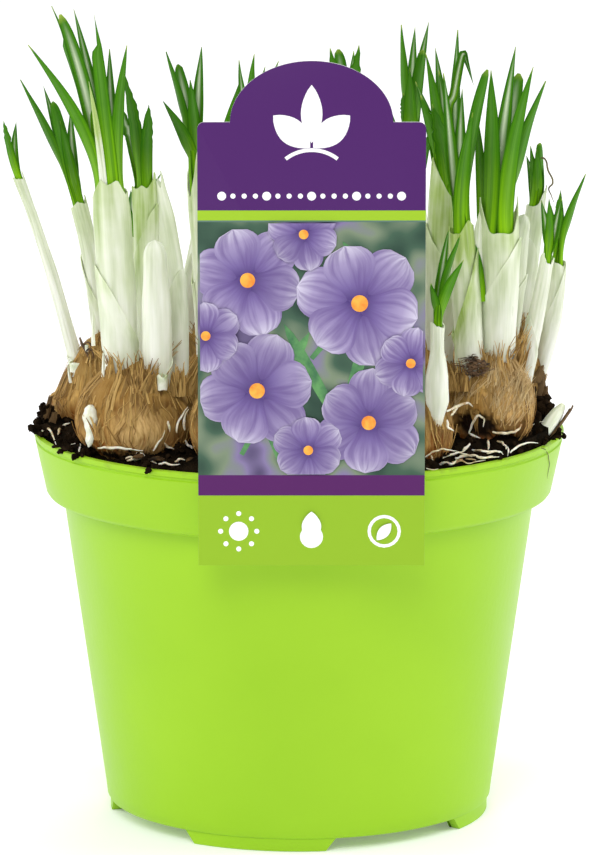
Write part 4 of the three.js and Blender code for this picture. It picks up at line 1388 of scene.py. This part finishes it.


# ---- roots and small leftovers ----

# roots that lie on the compost or over a corm's foot, each as listed points
frontRoots = [
    [(27.5, -47.1, 89.8), (29.2, -46.7, 90.9), (31.2, -45.5, 91.3), (33.0, -42.8, 90.5),
     (34.6, -41.2, 90.0)],
    [(28.8, -46.6, 90.1), (29.0, -46.3, 89.2), (29.2, -46.0, 88.5)],
    [(36.0, -37.4, 89.3), (37.0, -35.9, 89.9), (37.6, -34.8, 90.5)],
    [(37.6, -27.9, 91.5), (38.3, -28.3, 93.6), (39.6, -28.9, 95.6), (40.9, -29.1, 94.8),
     (40.7, -29.2, 93.1)],
    [(37.6, -27.5, 91.4), (38.7, -27.7, 90.8), (40.1, -27.8, 90.3)],
    [(32.3, -43.0, 99.2), (34.2, -38.8, 99.3), (36.2, -31.5, 98.7), (37.6, -27.8, 98.1),
     (38.4, -28.1, 97.4)],
    [(33.3, -42.4, 98.2), (34.2, -40.0, 98.9), (35.0, -33.6, 98.4)],
    [(42.8, -28.8, 91.9), (44.5, -28.5, 91.6), (46.0, -27.9, 91.4), (47.8, -27.3, 91.6),
     (48.7, -26.9, 92.2), (49.2, -26.8, 93.3)],
    [(41.8, -29.1, 90.1), (41.9, -30.1, 89.2), (41.7, -31.4, 88.3)],
    [(43.8, -27.6, 89.6), (44.9, -27.9, 89.4), (45.7, -30.5, 89.0), (45.9, -34.8, 88.5)],
    [(46.5, -34.2, 88.2), (47.4, -33.5, 88.9), (48.6, -31.3, 89.3), (50.7, -27.9, 89.3),
     (53.0, -25.8, 88.8)],
    [(34.2, -40.6, 88.3), (35.5, -40.3, 88.7), (36.8, -40.9, 89.0), (39.2, -42.0, 88.8),
     (41.0, -41.1, 88.5), (42.5, -40.3, 88.7)],
    [(38.1, -35.6, 89.1), (39.8, -37.2, 89.3), (41.4, -40.0, 89.4), (43.2, -38.3, 89.4),
     (44.6, -37.1, 88.9)],
    [(30.8, -43.9, 87.6), (32.1, -45.1, 88.1), (33.4, -46.8, 88.2), (34.5, -44.7, 88.7)],
    [(27.7, -47.0, 87.6), (29.0, -46.7, 87.7), (30.3, -46.2, 87.4)],
    [(32.3, -44.9, 97.6), (32.5, -44.4, 95.9), (33.8, -44.2, 95.0)],
    [(31.5, -43.6, 88.9), (33.1, -42.1, 89.3), (34.9, -40.2, 89.5), (36.9, -39.0, 88.9)],
    [(33.5, -42.5, 87.8), (35.2, -43.3, 88.4), (36.9, -44.0, 88.7), (38.7, -44.1, 88.5)],
    [(-57.6, -14.2, 88.9), (-57.3, -11.8, 89.2), (-56.6, -12.0, 89.6), (-55.6, -15.5, 89.8),
     (-54.8, -18.3, 89.0), (-54.0, -20.4, 87.3)],
    [(-53.7, -17.8, 89.3), (-53.6, -14.8, 89.7), (-53.0, -12.2, 90.0), (-52.2, -11.1, 90.3),
     (-51.3, -10.7, 90.5)],
    [(-44.2, -34.9, 89.4), (-42.8, -35.5, 89.7), (-40.8, -36.6, 89.8), (-38.8, -37.3, 89.9),
     (-36.9, -37.4, 89.7), (-34.2, -37.4, 89.3)],
    [(-32.0, -36.9, 89.2), (-31.2, -37.0, 90.5), (-30.0, -37.2, 92.1), (-29.4, -37.2, 93.9)],
    [(-28.7, -36.8, 95.8), (-28.5, -36.7, 94.7), (-28.3, -36.7, 93.4)],
    [(-26.8, -35.3, 92.9), (-26.8, -35.2, 94.0), (-26.4, -34.6, 95.4), (-25.3, -33.3, 97.0),
     (-24.4, -32.4, 98.2)],
    [(-25.1, -33.6, 93.2), (-25.3, -33.5, 94.8), (-25.1, -32.9, 96.2), (-24.2, -32.4, 97.7)],
    [(-25.1, -31.4, 90.6), (-24.5, -30.9, 89.3), (-23.5, -33.7, 89.2), (-22.8, -39.8, 90.8)],
    [(-37.7, -39.7, 87.5), (-36.4, -39.3, 87.8), (-34.8, -38.8, 88.0), (-33.1, -40.1, 87.8),
     (-31.0, -42.2, 87.3)],
    [(-35.6, -37.0, 88.7), (-34.2, -37.9, 88.5), (-33.1, -39.0, 87.3)],
    [(-38.1, -39.0, 87.8), (-36.8, -38.9, 88.2), (-35.3, -38.6, 87.7)],
    [(-30.8, -42.5, 87.3), (-29.3, -42.6, 87.6), (-27.7, -43.4, 87.3), (-26.0, -44.4, 87.7)],
    [(-27.1, -40.8, 87.5), (-26.2, -41.3, 88.2), (-24.9, -41.4, 88.0)],
    [(-29.6, -36.0, 90.8), (-28.8, -35.2, 89.7), (-27.5, -34.5, 89.1)],
]

# the long roots along the right-hand lip: their thickness and their points
lipRoots = [
    (0.25, [(38.51, -36.13, 89.19), (39.2, -37.66, 89.46), (39.81, -39.19, 89.71), (40.42, -40.74, 89.88),
            (41.88, -39.46, 89.54), (42.67, -38.27, 89.38), (43.5, -37.19, 89.15), (44.27, -37.28, 89.1),
            (44.84, -37.43, 88.41)]),
    (0.29, [(34.28, -41.21, 88.12), (35.69, -40.8, 88.6), (37.27, -40.87, 88.83), (38.47, -42.24, 89.19),
            (39.71, -42.6, 88.72), (40.71, -42.07, 88.64), (41.63, -41.21, 88.57), (42.73, -40.42, 88.48),
            (43.87, -40.06, 88.45)]),
    (0.18, [(30.77, -44.47, 87.55), (31.56, -44.29, 87.67), (32.79, -44.62, 87.58), (34.03, -44.97, 87.96),
            (35.56, -45.46, 88.63), (36.8, -45.71, 88.11), (38.39, -44.89, 88.28), (40.8, -42.69, 88.27)]),
    (0.16, [(27.62, -52.15, 88.26), (29.2, -51.32, 87.79), (30.3, -50.84, 87.91)]),
    (0.15, [(37.69, -36.54, 90.64), (36.88, -37.36, 89.83), (35.71, -39.89, 89.54), (34.1, -41.9, 89.59),
            (32.9, -43.62, 89.46), (31.86, -43.94, 89.1)]),
    (0.2, [(46, -32.62, 89.26), (46.09, -34.97, 88.74), (45.91, -35.22, 87.67)]),
]

rootLook = {"thin": 0.22, "thick": 0.36, "sway": 0.12, "strays": 48, "strayRadius": 54, "stride": 2.1,
            "border": 57, "turnedBack": 0.96}


def makeRoot(points, thickness, foot=0.6, name="strand"):
    # a round strand through the points; foot is its thickness at the start as a part of its middle
    strand = added(bpy.ops.curve.primitive_bezier_curve_add, name, location=(0, 0, 0))
    knots = strand.data.splines[0].bezier_points
    knots.add(len(points) - 2)
    last = len(points) - 1
    for i, (knot, place) in enumerate(zip(knots, points)):
        knot.co = place
        knot.handle_left_type = "AUTO"
        knot.handle_right_type = "AUTO"
        t = i / last
        knot.radius = between(foot, 1, ease(t, 0, 0.3)) * (1 - 0.75 * t ** 3)
    strand.data.bevel_depth = thickness
    strand.data.bevel_resolution = 1
    strand.data.resolution_u = 4
    strand.data.use_fill_caps = True
    bpy.ops.object.convert(target="MESH")
    return bpy.context.object


def curled(points, draw, sway):
    # adds a small kink between every two points
    kinked = [Vector(points[0])]
    for a, b in zip(points, points[1:]):
        kink = Vector((draw(-sway, sway), draw(-sway, sway), draw(-sway, sway)))
        kinked.append((Vector(a) + Vector(b)) / 2 + kink)
        kinked.append(Vector(b))
    return kinked


def wanderingRoot(draw):
    # a short root that creeps over the compost
    look = rootLook
    reach = look["strayRadius"] * math.sqrt(draw(0.15, 1))
    angle = draw(0, turn)
    heading = draw(0, turn)
    x, y = reach * math.cos(angle), reach * math.sin(angle)
    bendiness = draw(0.2, 0.7)
    points = []
    for i in range(int(draw(4, 9))):
        points.append((x, y, roughSoil(x, y) + 0.3 + 0.5 * draw()))
        heading += draw(-bendiness, bendiness)
        x += look["stride"] * math.cos(heading)
        y += look["stride"] * math.sin(heading)
        if math.hypot(x, y) > look["border"]:
            x *= look["turnedBack"]
            y *= look["turnedBack"]
    return makeRoot(points, draw(0.12, 0.26))


def makeRoots():
    draw = randomFrom(88)
    strands = []
    for points in frontRoots:
        thickness = draw(rootLook["thin"], rootLook["thick"])
        strands.append(makeRoot(curled(points, draw, rootLook["sway"]), thickness))
    strands += [wanderingRoot(draw) for _ in range(rootLook["strays"])]
    strands += [makeRoot(points, thickness) for thickness, points in lipRoots]
    settle(joined("roots", strands), rootSkin, "pale_sheath", smooth=60)


# torn tufts of coat that stand free: middle, half sizes sideways and in depth, height, lean and how many
tufts = [
    {"at": (-40, -30.5, 101.5), "spread": (3.2, 1.2), "height": (4, 8.5), "lean": (0.05, 0), "count": 46},
    {"at": (-33.8, -34.6, 100.2), "spread": (3.3, 0.9), "height": (6, 10), "lean": (0.12, 0.1), "count": 120},
    {"at": (-26.6, -31.5, 100.5), "spread": (2.6, 1.6), "height": (5, 8.5), "lean": (0.05, 0.1), "count": 60},
    {"at": (47.6, -13.6, 103), "spread": (2.6, 1.6), "height": (6, 12), "lean": (0.12, 0), "count": 90},
    {"at": (-44.2, -36.3, 91.5), "spread": (0.5, 0.4), "height": (4, 8), "lean": (-0.08, 0.05), "count": 24},
    {"at": (-46.6, -5, 101.5), "spread": (2.4, 1.2), "height": (3, 6.5), "lean": (0.35, 0), "count": 46},
    {"at": (36, -26, 100.6), "spread": (3, 1), "height": (4.5, 8), "lean": (0, 0.15), "count": 70},
    {"at": (54, -1, 97), "spread": (1.4, 1.6), "height": (2.5, 5), "lean": (0.1, 0), "count": 40},
    {"at": (45.5, -26.3, 98.3), "spread": (4.5, 0.8), "height": (5, 9), "lean": (0.42, 0.3), "count": 150,
     "pale": True},
]


def makeTufts():
    strip = flatSheet("tuftMaster", 1, 6)
    draw = randomFrom(246)
    loose, pale = [], []
    for tuft in tufts:
        for _ in range(tuft["count"]):
            x, y, z = tuft["at"]
            angle, reach = draw(0, turn), math.sqrt(draw())
            wide, deep = tuft["spread"]
            foot = Vector((x + wide * reach * math.cos(angle), y + deep * reach * math.sin(angle), z))
            height = draw(*tuft["height"]) * (1.1 - 0.5 * reach)
            width = draw(0.15, 0.4) if "pale" in tuft else draw(0.3, 0.95)
            leanX, leanY = tuft["lean"][0] + draw(-0.22, 0.22), tuft["lean"][1] + draw(-0.22, 0.22)
            bend = draw(-0.25, 0.25)
            facing = draw(-0.9, 0.9)

            def place(u, v):
                drift = Vector((leanX * v + bend * v * v, leanY * v, v)) * height
                half = 0.5 * width * (1 - 0.92 * v ** 1.6)
                return foot + drift + roundAbout(facing) * (2 * u - 1) * half
            (pale if "pale" in tuft else loose).append(shaped(strip, place, draw()))
    settleSheets("neckTufts", loose, 0.12, fibreCoat, "corm_coat")
    settleSheets("paleTufts", pale, 0.12, hairCoat, "corm_coat")
    discard(strip)


# the dark fuzz at the foot of the two right-hand shoots, as it shows from the front
tangle = {"x": 38.8, "z": 106.2, "halfWidth": 2.8, "halfHeight": 2.3, "front": -27.6, "back": -25.6,
          "strands": 130}


def makeLeftovers():
    # the dead end of a leaf that curls by the right-hand shoots
    wisp = [(53.9, -8, 150.1), (54.7, -8, 149.9), (55.5, -8, 147.3), (56.6, -8, 144.4), (55.7, -8, 143.2),
            (56.2, -8, 141.8), (56.9, -8, 140)]
    settle(makeRoot(wisp, 0.24, 0.8, "witheredTip"), dryBrown, "corm_coat")
    # a shrivelled root that hangs over the pot's band
    hanging = [(53.76, -26, 87.73), (54.47, -25.11, 87.32), (55.04, -22.56, 86.28), (55.39, -22.16, 85.53),
               (55.65, -20.71, 84.11), (55.89, -19.07, 82.66), (55.73, -18.74, 81.45), (55.53, -18.58, 80.29),
               (55.6, -17.6, 79.18)]
    settle(makeRoot(hanging, 0.09, 0.9, "hangingRoot"), dryBrown, "corm_coat")
    # a shrivelled black curl at the left corm, and the dark fuzz
    curls = [
        makeRoot([(-49.2, -5, 109), (-48.6, -5.4, 107.4), (-47.8, -5.8, 106), (-47, -5.8, 104)], 0.36),
        makeRoot([(-48.4, -5.6, 107), (-47.4, -6.2, 108.1), (-46.6, -6, 107), (-47.3, -6, 105.4)], 0.26),
        makeRoot([(-47.9, -6, 105.8), (-47, -6.4, 106.6), (-46.2, -6, 105.6), (-46.4, -6, 103.6)], 0.24),
    ]
    draw = randomFrom(515)
    for _ in range(tangle["strands"]):
        angle, reach = draw(0, turn), draw() ** 0.7
        x = tangle["x"] + tangle["halfWidth"] * reach * math.cos(angle)
        z = tangle["z"] + tangle["halfHeight"] * reach * math.sin(angle)
        start = Vector((x, draw(tangle["front"], tangle["back"]) + 0.12 * (z - 106), z))
        points = [start]
        for _ in range(3):
            start = start + Vector((draw(-1.1, 1.1), draw(-0.3, 0.4), draw(-0.4, 0.4)))
            points.append(start)
        curls.append(makeRoot(points, draw(0.08, 0.2)))
    settle(joined("darkTangle", curls), dryBlack, "corm_coat", smooth=60)


sideBud = {"middle": (-45.9, -34.2, 94.2), "lean": 0.1, "foot": 1.15, "head": 1.95, "halfHeight": 4.8}


def makeSideBud():
    # the white side bud where the largest corm's coat is torn, in two lobes
    bud = added(bpy.ops.mesh.primitive_uv_sphere_add, "sideBud", segments=40, ring_count=36, radius=1,
                location=(0, 0, 0))
    bend = Matrix.Translation(sideBud["middle"]) @ Matrix.Rotation(sideBud["lean"], 4, "Y")
    for vertex in bud.data.vertices:
        co = vertex.co
        t = 0.5 + 0.5 * co.z
        waist = 1 - 0.14 * math.exp(-((t - 0.42) / 0.1) ** 2)
        wide = between(sideBud["foot"], sideBud["head"], ease(t, 0.2, 0.75)) * waist
        shape = Vector((co.x * wide + 0.35 * math.sin(5 * t), co.y * wide * 0.9,
                        co.z * sideBud["halfHeight"]))
        bumps = Vector((0.3, 0.5, 0.1)) * grain(shape.x * 0.9, shape.y * 0.9, shape.z * 0.8)
        vertex.co = bend @ (shape + bumps)
    settle(bud, silkySheath, "pale_sheath", smooth=60)


# short pale stumps of older sheaths: foot, radius and height
stumps = [((-49.6, -2.6, 99.8), 1.9, 3.2), ((-30, -34.4, 102.4), 1.1, 3.2), ((-47.6, -5.8, 105.9), 0.4, 1.4)]


def makeSpareShoots():
    # small leaves and pale tips that stand between the large sheaths
    blade = flatSheet("smallBladeMaster", 6, 16)
    toFront = Vector((0, -1, 0))

    def small(start, middle, end, width, kind, chance=0.4):
        route = arc(Vector(start), Vector(middle), Vector(end))
        return makeBlade(blade, route, width, lambda v: toFront, kind, 1.2 * width, chance)

    settleSheets("smallLeaves", [
        small((-26.6, -16.2, 121), (-26.9, -16.8, 126), (-28.2, -17.2, 131.2), 1.9, ""),
        small((-27.4, -15.8, 120.5), (-27.9, -16.2, 124), (-27.4, -16.4, 128), 1.4, "ragged"),
        small((40.2, -22.8, 120), (39.9, -23.2, 127), (38.9, -22.6, 133), 2.2, ""),
        small((40.9, -18, 131), (40.6, -18, 146), (39.2, -17, 161.5), 2.4, ""),
    ], 0.25, (leafOutside, leafInside), "green_leaf", offset=-1, smooth=60)
    points = [
        small((39.6, -22, 126), (39.6, -22.4, 133), (39.9, -21.6, 140), 2.6, ""),
        small((-45.4, -25, 110.5), (-45.6, -25.4, 114), (-45.3, -25, 118.2), 0.8, ""),
        small((-43.2, -30.4, 104.5), (-43, -30.6, 107.5), (-43, -30, 110.5), 0.6, "ragged"),
        small((-51.2, -7.4, 99), (-51.6, -7.6, 101), (-51.8, -7, 103), 0.6, ""),
        small((-42.4, -27.2, 140), (-43.2, -29.6, 156), (-45.8, -31, 170), 1.5, "", 2.2),
    ]
    ring = flatSheet("stumpMaster", 24, 6)
    for foot, radius, height in stumps:
        foot = Vector(foot)

        def place(u, v):
            angle = turn * u
            rough = 0.22 * grain(7 * u, radius, 2.2) * (1 if v > 0.5 else -0.3) * abs(2 * v - 1)
            around = roundAbout(angle) * radius * (1 + 0.12 * v)
            return foot + around + up * height * (v + rough)
        points.append(shaped(ring, place, 0.55))
    settleSheets("paleTips", points, 0.25, silkySheath, "pale_sheath", offset=-1, smooth=60)
    discard(blade, ring)


# loose pieces of shell: a corner point on its lower left, the steps across and up it, and how far it bulges
shards = [
    ((-57.4, -9.2, 91.4), (1.2, 0.6, -0.2), (1.0, 1, 4.6), 0.6),
    ((-56.2, -9.4, 89.8), (1.5, -0.8, 0), (0.8, 0.5, 2.8), 0.5),
    ((53.3, -3, 95), (2.6, 0.4, -0.4), (-0.2, 1, 6.4), 0.6),
    ((52.2, -4, 98.4), (2.4, 0.2, 0.2), (1.1, 1, 3.6), 0.5),
    ((54.4, -8, 93.2), (1.8, 0.3, -0.2), (0.2, 0.6, 5), 0.4),
    ((-36.5, -40.5, 88.3), (2.6, 0.3, -0.3), (0.6, 1.4, 0.5), 0.3),
    ((-33, -42.5, 88.1), (3.4, 0.4, -0.1), (0.3, 1.2, 0.4), 0.3),
    ((-24.5, -44.5, 88.3), (2.4, 0.6, 0), (-0.3, 1.1, 0.4), 0.25),
]


def makeShards():
    flake = flatSheet("shardMaster", 8, 8)
    pieces = []
    for i, (*places, bulge) in enumerate(shards):
        corner, across, rise = (Vector(place) for place in places)
        outward = across.cross(rise).normalized()

        def place(u, v):
            narrow = 1 - 0.75 * ease(v, 0.35, 1) * (0.7 + 0.3 * math.sin(5 * i))
            torn = 0.16 * grain(4 * u + i, 4 * v, 0.3)
            side = 0.5 + (u - 0.5) * narrow + torn
            out = bulge * (1 - (2 * u - 1) ** 2) * (0.4 + 0.6 * v)
            return corner + across * side + rise * (v + 0.14 * grain(6 * u, i, 1.7)) + outward * out
        pieces.append(shaped(flake, place, 0.13 * i))
    settleSheets("shellPieces", pieces, 0.3, shellCoat, "corm_coat")
    discard(flake)


oldShoot = {"from": Vector((53.6, -14, 87.4)), "to": Vector((59.3, -10, 94.6)),
            "girth": [1.2, 1.65, 1.7, 1.45, 0.6]}


def makeOldShoot():
    roll = flatSheet("stubMaster", 28, 18)
    start, end = oldShoot["from"], oldShoot["to"]
    along = (end - start).normalized()

    def place(u, v):
        angle = turn * u
        body = min(1.0, v / 0.86)
        radius = sample(oldShoot["girth"], body)
        if v > 0.86:
            radius *= max(0.02, 1 - (v - 0.86) / 0.14)
        radius = max(0.02, radius + 0.05 * math.sin(9 * angle) * (v < 0.86))
        return start.lerp(end, body) + outwardFrom(along, angle) * radius

    def rag(u, v):
        # the papery shell that stands off its right side and reaches past its tip
        angle = turn * (-0.06 + 0.2 * u)
        t = 0.05 + 1.0 * v + 0.08 * grain(7 * u, 1.2, 0.4) * v
        radius = sample(oldShoot["girth"], 0.75 * t) + 0.2 + 0.5 * v
        return start.lerp(end, t) + outwardFrom(along, angle) * radius
    stub = shaped(roll, place, 0.4)
    mergeDoubles(stub)
    stub.name = "oldShoot"
    settle(stub, silkySheath, "pale_sheath", "old_shoot", smooth=60)
    settleSheets("oldShootCoat", [shaped(roll, rag, 0.7)], 0.2, shellCoat, "corm_coat", offset=1, smooth=60)
    discard(roll)


# ---- label ----

card = {
    "left": -21.7, "right": 27.1, "foot": 68.6, "shoulder": 165.1, "top": 178.2, "archHalfWidth": 17.4,
    "thickness": 0.6, "corner": 1.5, "back": -60.3, "ink": 0.01, "sheetInk": 0.006,
    "limeTop": 83.7, "bandTop": 88.5, "pictureTop": 143.6, "stripeTop": 145.8,
    "tongueWidth": 16, "tongueThickness": 0.8, "tongueDepth": 12, "seat": 88.0,
}
card["middle"] = (card["left"] + card["right"]) / 2
card["front"] = card["back"] - card["thickness"]


def cardFinish():
    # bands of ink by height on the front, and bare white card on the back and edges
    finish, tree, shader = newFinish("printedCard", 0.34, Specular_IOR_Level=0.15)
    place = surfacePlace(tree)
    _, depth, level = partsOf(tree, place)
    height = stretch(tree, level, card["foot"] * mm, card["top"] * mm)

    def part(z):
        return (z - card["foot"]) / (card["top"] - card["foot"])
    bands = ramp(tree, height, [
        (0.0, "91b929"), (part(card["limeTop"]), "552060"),
        (part(card["bandTop"]), "5f7a6c"), (part(card["pictureTop"]), "9bc22d"),
        (part(card["stripeTop"]), "4d2466")], sharp=True)
    # the picture's ground: soft leaf greens and lilac shadows out of focus
    ground = ramp(tree, noiseOf(tree, place, 75, 1.5).outputs[0], [
        (0.3, "1f3630"), (0.42, "44604e"), (0.5, "7b8a72"),
        (0.58, "83769f"), (0.68, "33284c")])
    above = calc(tree, "GREATER_THAN", level, card["bandTop"] * mm)
    below = calc(tree, "LESS_THAN", level, card["pictureTop"] * mm)
    picture = blend(tree, times(tree, above, below), bands, ground)
    onFront = calc(tree, "LESS_THAN", depth, (card["front"] + 0.1) * mm)
    printed = blend(tree, onFront, "f1f1ec", picture)
    paint(tree, shader, printed)
    fine = useEffect(tree, mottle, Place=place, Scale=900)
    giveBump(tree, shader, fine["Mask"], 0.01, 0.3)
    return finish


def petalFinish():
    finish, tree, shader = newFinish("lilacInk", 0.34, Specular_IOR_Level=0.3)
    sheet = sheetPlace(tree)
    chance = chanceOf(tree)
    veins = useEffect(tree, streaks, Place=sheet, Across=9, Along=1.2, Chance=chance)
    lengthwise = ramp(tree, partsOf(tree, sheet)[1], [
        (0.0, "452f72"), (0.25, "75639d"), (0.7, "a396bd"), (1.0, "d3cde0")])
    veined = blend(tree, times(tree, veins["Mask"], 0.6), lengthwise, "5e4685")
    shade = blend(tree, times(tree, chance, 0.3), veined, "524073")
    paint(tree, shader, shade)
    giveBump(tree, shader, veins["Fine"], 0.01, 0.3)
    return finish


def makeCard():
    c = card
    sheet = added(bpy.ops.mesh.primitive_plane_add, "labelCard", size=1, rotation=(math.pi / 2, 0, 0),
                  location=(0, c["front"], 0))
    width, height = c["right"] - c["left"], c["shoulder"] - c["foot"]
    sheet.scale = (width, height, 1)
    sheet.location = (c["middle"], c["front"], c["foot"] + height / 2)
    applyPlace(sheet)
    # the arch: the top edge is cut into short lengths whose vertices are lifted onto an ellipse
    edited(sheet, bpy.ops.mesh.subdivide,
           lambda edge: all(sheet.data.vertices[i].co.z > c["shoulder"] - 0.1 for i in edge.vertices),
           "EDGE", number_cuts=63)
    top = sorted((v for v in sheet.data.vertices if v.co.z > c["shoulder"] - 0.1), key=lambda v: v.co.x)
    half = c["archHalfWidth"]
    for i, vertex in enumerate(top[1:-1], 1):
        angle = math.pi * (1 - (i - 1) / (len(top) - 3))
        vertex.co.x = c["middle"] + half * math.cos(angle)
        vertex.co.z = c["shoulder"] + (c["top"] - c["shoulder"]) * math.sin(angle)
    shoulders = [top[0].co.copy(), top[-1].co.copy()]
    edited(sheet, bpy.ops.mesh.bevel,
           lambda vertex: any((vertex.co - end).length < 0.01 for end in shoulders),
           offset=c["corner"], segments=6, affect="VERTICES")
    facing = sheet.data.polygons[0].normal.y
    modify(sheet, "SOLIDIFY", thickness=c["thickness"], offset=1 if facing > 0 else -1)
    modify(sheet, "BEVEL", width=0.08, segments=2, limit_method="ANGLE", angle_limit=math.radians(60))
    facesOutward(sheet)
    return sheet


def makeTongue():
    # the tongue behind the card: over the lip and down into the compost
    c = card
    inside = -potSizes["rimRadius"] + potSizes["wall"] + 1.8
    tongue = added(bpy.ops.mesh.primitive_plane_add, "labelTongue", size=1,
                   location=(c["middle"], c["back"] - 0.15, c["seat"] + 0.4))
    tongue.scale = (c["tongueWidth"], 0.3, 1)
    applyPlace(tongue)
    for step in ((0, inside - c["back"] - 0.2, 0), (0, 0.55, -0.45), (0, 2.3, -c["tongueDepth"] + 0.5)):
        back = max(vertex.co.y for vertex in tongue.data.vertices)
        edited(tongue, bpy.ops.mesh.extrude_region_move,
               lambda edge: all(abs(tongue.data.vertices[i].co.y - back) < 0.001 for i in edge.vertices),
               "EDGE", TRANSFORM_OT_translate={"value": step})
    edited(tongue, bpy.ops.mesh.subdivide, kind="EDGE", number_cuts=2)
    modify(tongue, "SOLIDIFY", thickness=c["tongueThickness"], offset=0)
    return tongue


def onCard(x, z, layer):
    return Vector((x, card["front"] - card["ink"] * layer, z))


def makePrint():
    # a plain generic print: open blossoms and leaves in the picture, a sprout and a row of dots above it
    c = card
    petal = flatSheet("petalMaster", 8, 12)
    dot = flatSheet("dotMaster", 20, 3)
    draw = randomFrom(60)

    def insidePicture(x, z):
        return (min(c["right"] - 0.5, max(c["left"] + 0.5, x)),
                min(c["pictureTop"] - 0.2, max(c["bandTop"] + 0.2, z)))

    def printPetal(centre, angle, length, width, layer, chance):
        def place(u, v):
            half = 0.5 * width * (0.4 + 0.6 * ease(v, 0, 0.62))
            half *= math.sqrt(max(0.0, 1 - max(0.0, (v - 0.6) / 0.4) ** 2))
            x = (2 * u - 1) * half
            z = length * (0.1 + 0.9 * v)
            turned = Vector((x * math.cos(angle) + z * math.sin(angle),
                             z * math.cos(angle) - x * math.sin(angle)))
            return onCard(*insidePicture(centre[0] + turned.x, centre[1] + turned.y), layer)
        return shaped(petal, place, chance)

    def printDot(centre, radius, layer, squash=1.0, chance=0.5):
        def place(u, v):
            return onCard(centre[0] + radius * v * math.cos(turn * u),
                          centre[1] + squash * radius * v * math.sin(turn * u), layer)
        return shaped(dot, place, chance)

    def printRing(centre, inner, outer, start, end, layer):
        def place(u, v):
            angle = between(start, end, u)
            radius = between(inner, outer, v)
            return onCard(centre[0] + radius * math.cos(angle), centre[1] + radius * math.sin(angle), layer)
        return shaped(dot, place)

    def finishPrint(name, parts, finish):
        made = joined(name, parts)
        mergeDoubles(made, 0.0005)
        modify(made, "SOLIDIFY", thickness=c["sheetInk"], offset=0)
        settle(made, finish, "printed_card", smooth=30)

    stalks = []
    for x, z, angle, length in (
            (-14, 90, 0.5, 34), (-3, 88.5, -0.35, 30), (6, 89, 0.28, 40), (14, 90, -0.5, 36),
            (21, 95, 0.1, 30), (-19, 100, 0.15, 30), (1, 112, 0.7, 26), (24, 118, -0.6, 26)):
        stalks.append(printPetal((x, z), angle, length, 2.6, 2 + len(stalks), draw()))
    finishPrint("labelStalks", stalks, inkFinish("leafInk", "2d6a3e", "5d9a55", 300))
    petals = []
    centres = []
    for x, z, size in [(-11, 131, 12.5), (13, 126, 14), (-9, 107, 13), (15, 100, 12), (2, 94, 8),
                       (24, 113, 8), (-20, 119, 8), (1, 141, 8)]:
        tilt = draw(0, 1)
        for ring, (count, part) in enumerate(((3, 1.0), (3, 0.92))):
            for i in range(count):
                angle = tilt + (i + 0.5 * ring) / count * turn
                layer = 10 + len(petals)
                petals.append(printPetal((x, z), angle, size * part, size * 0.82, layer, draw()))
        centres.append(printDot((x, z), 0.13 * size, 10.5 + len(petals)))
    finishPrint("labelPetals", petals, petalFinish())
    finishPrint("labelCentres", centres, inkFinish("orangeInk", "e8831a", "f6b13c", 500))
    # the sprout in the header, its ring, the dots under it and the care signs in the lowest band
    white = []
    crown = (c["middle"], c["shoulder"] - 2.0)

    def leafSign(angle, length, width, centre):
        layer = 2 + len(white)

        def place(u, v):
            half = 0.5 * width * math.sin(math.pi * v) ** 0.8
            x, z = (2 * u - 1) * half, length * v
            return onCard(centre[0] + x * math.cos(angle) + z * math.sin(angle),
                          centre[1] + z * math.cos(angle) - x * math.sin(angle), layer)
        return shaped(petal, place)
    white.append(leafSign(0.85, 10.5, 5.6, (crown[0] + 0.3, crown[1] - 3.5)))
    white.append(leafSign(-0.85, 10.5, 5.6, (crown[0] - 0.3, crown[1] - 3.5)))
    white.append(leafSign(0, 12.5, 4.6, (crown[0], crown[1] - 2.5)))
    white.append(printRing((crown[0], crown[1] - 13), 8.6, 9.4, math.radians(52), math.radians(128), 1))
    for i in range(17):
        white.append(printDot((c["middle"] + (i - 8) * 2.4, 149.2), 0.55 if i % 4 else 0.95, 1))
    lime = (c["foot"] + c["limeTop"]) / 2
    white.append(printDot((-13, lime), 2.1, 1))
    for i in range(8):
        ray = turn * i / 8
        white.append(printDot((-13 + 3.9 * math.cos(ray), lime + 3.9 * math.sin(ray)), 0.55, 1))
    white.append(printDot((2.7, lime - 1.2), 2.5, 1))
    white.append(leafSign(0, 6.6, 4.2, (2.7, lime - 2.2)))
    white.append(printRing((18.4, lime), 2.9, 3.6, 0, turn, 1))
    white.append(leafSign(0.7, 4.8, 2.4, (16.8, lime - 1.9)))
    finishPrint("labelSigns", white, inkFinish("whiteInk", "f4f2f6", "ffffff"))
    discard(petal, dot)


def makeLabel():
    finish = cardFinish()
    sheet = makeCard()
    settle(sheet, finish, "printed_card", "label", smooth=30)
    settle(makeTongue(), finish, "printed_card", smooth=30)
    makePrint()


# ---- the whole pot ----

makeCamera()
makeStudio()
print("camera, floor and lights set")
makePot()
print("pot made")
makeCompost()
makeCrumbs()
print("compost made")
makeCorms()
print("corms made")
makeShoots()
print("sheaths and leaves made")
makeRoots()
makeTufts()
makeShards()
makeLeftovers()
makeSideBud()
makeSpareShoots()
makeOldShoot()
print("roots and leftovers made")
makeLabel()
print("label made")

clearSelection()
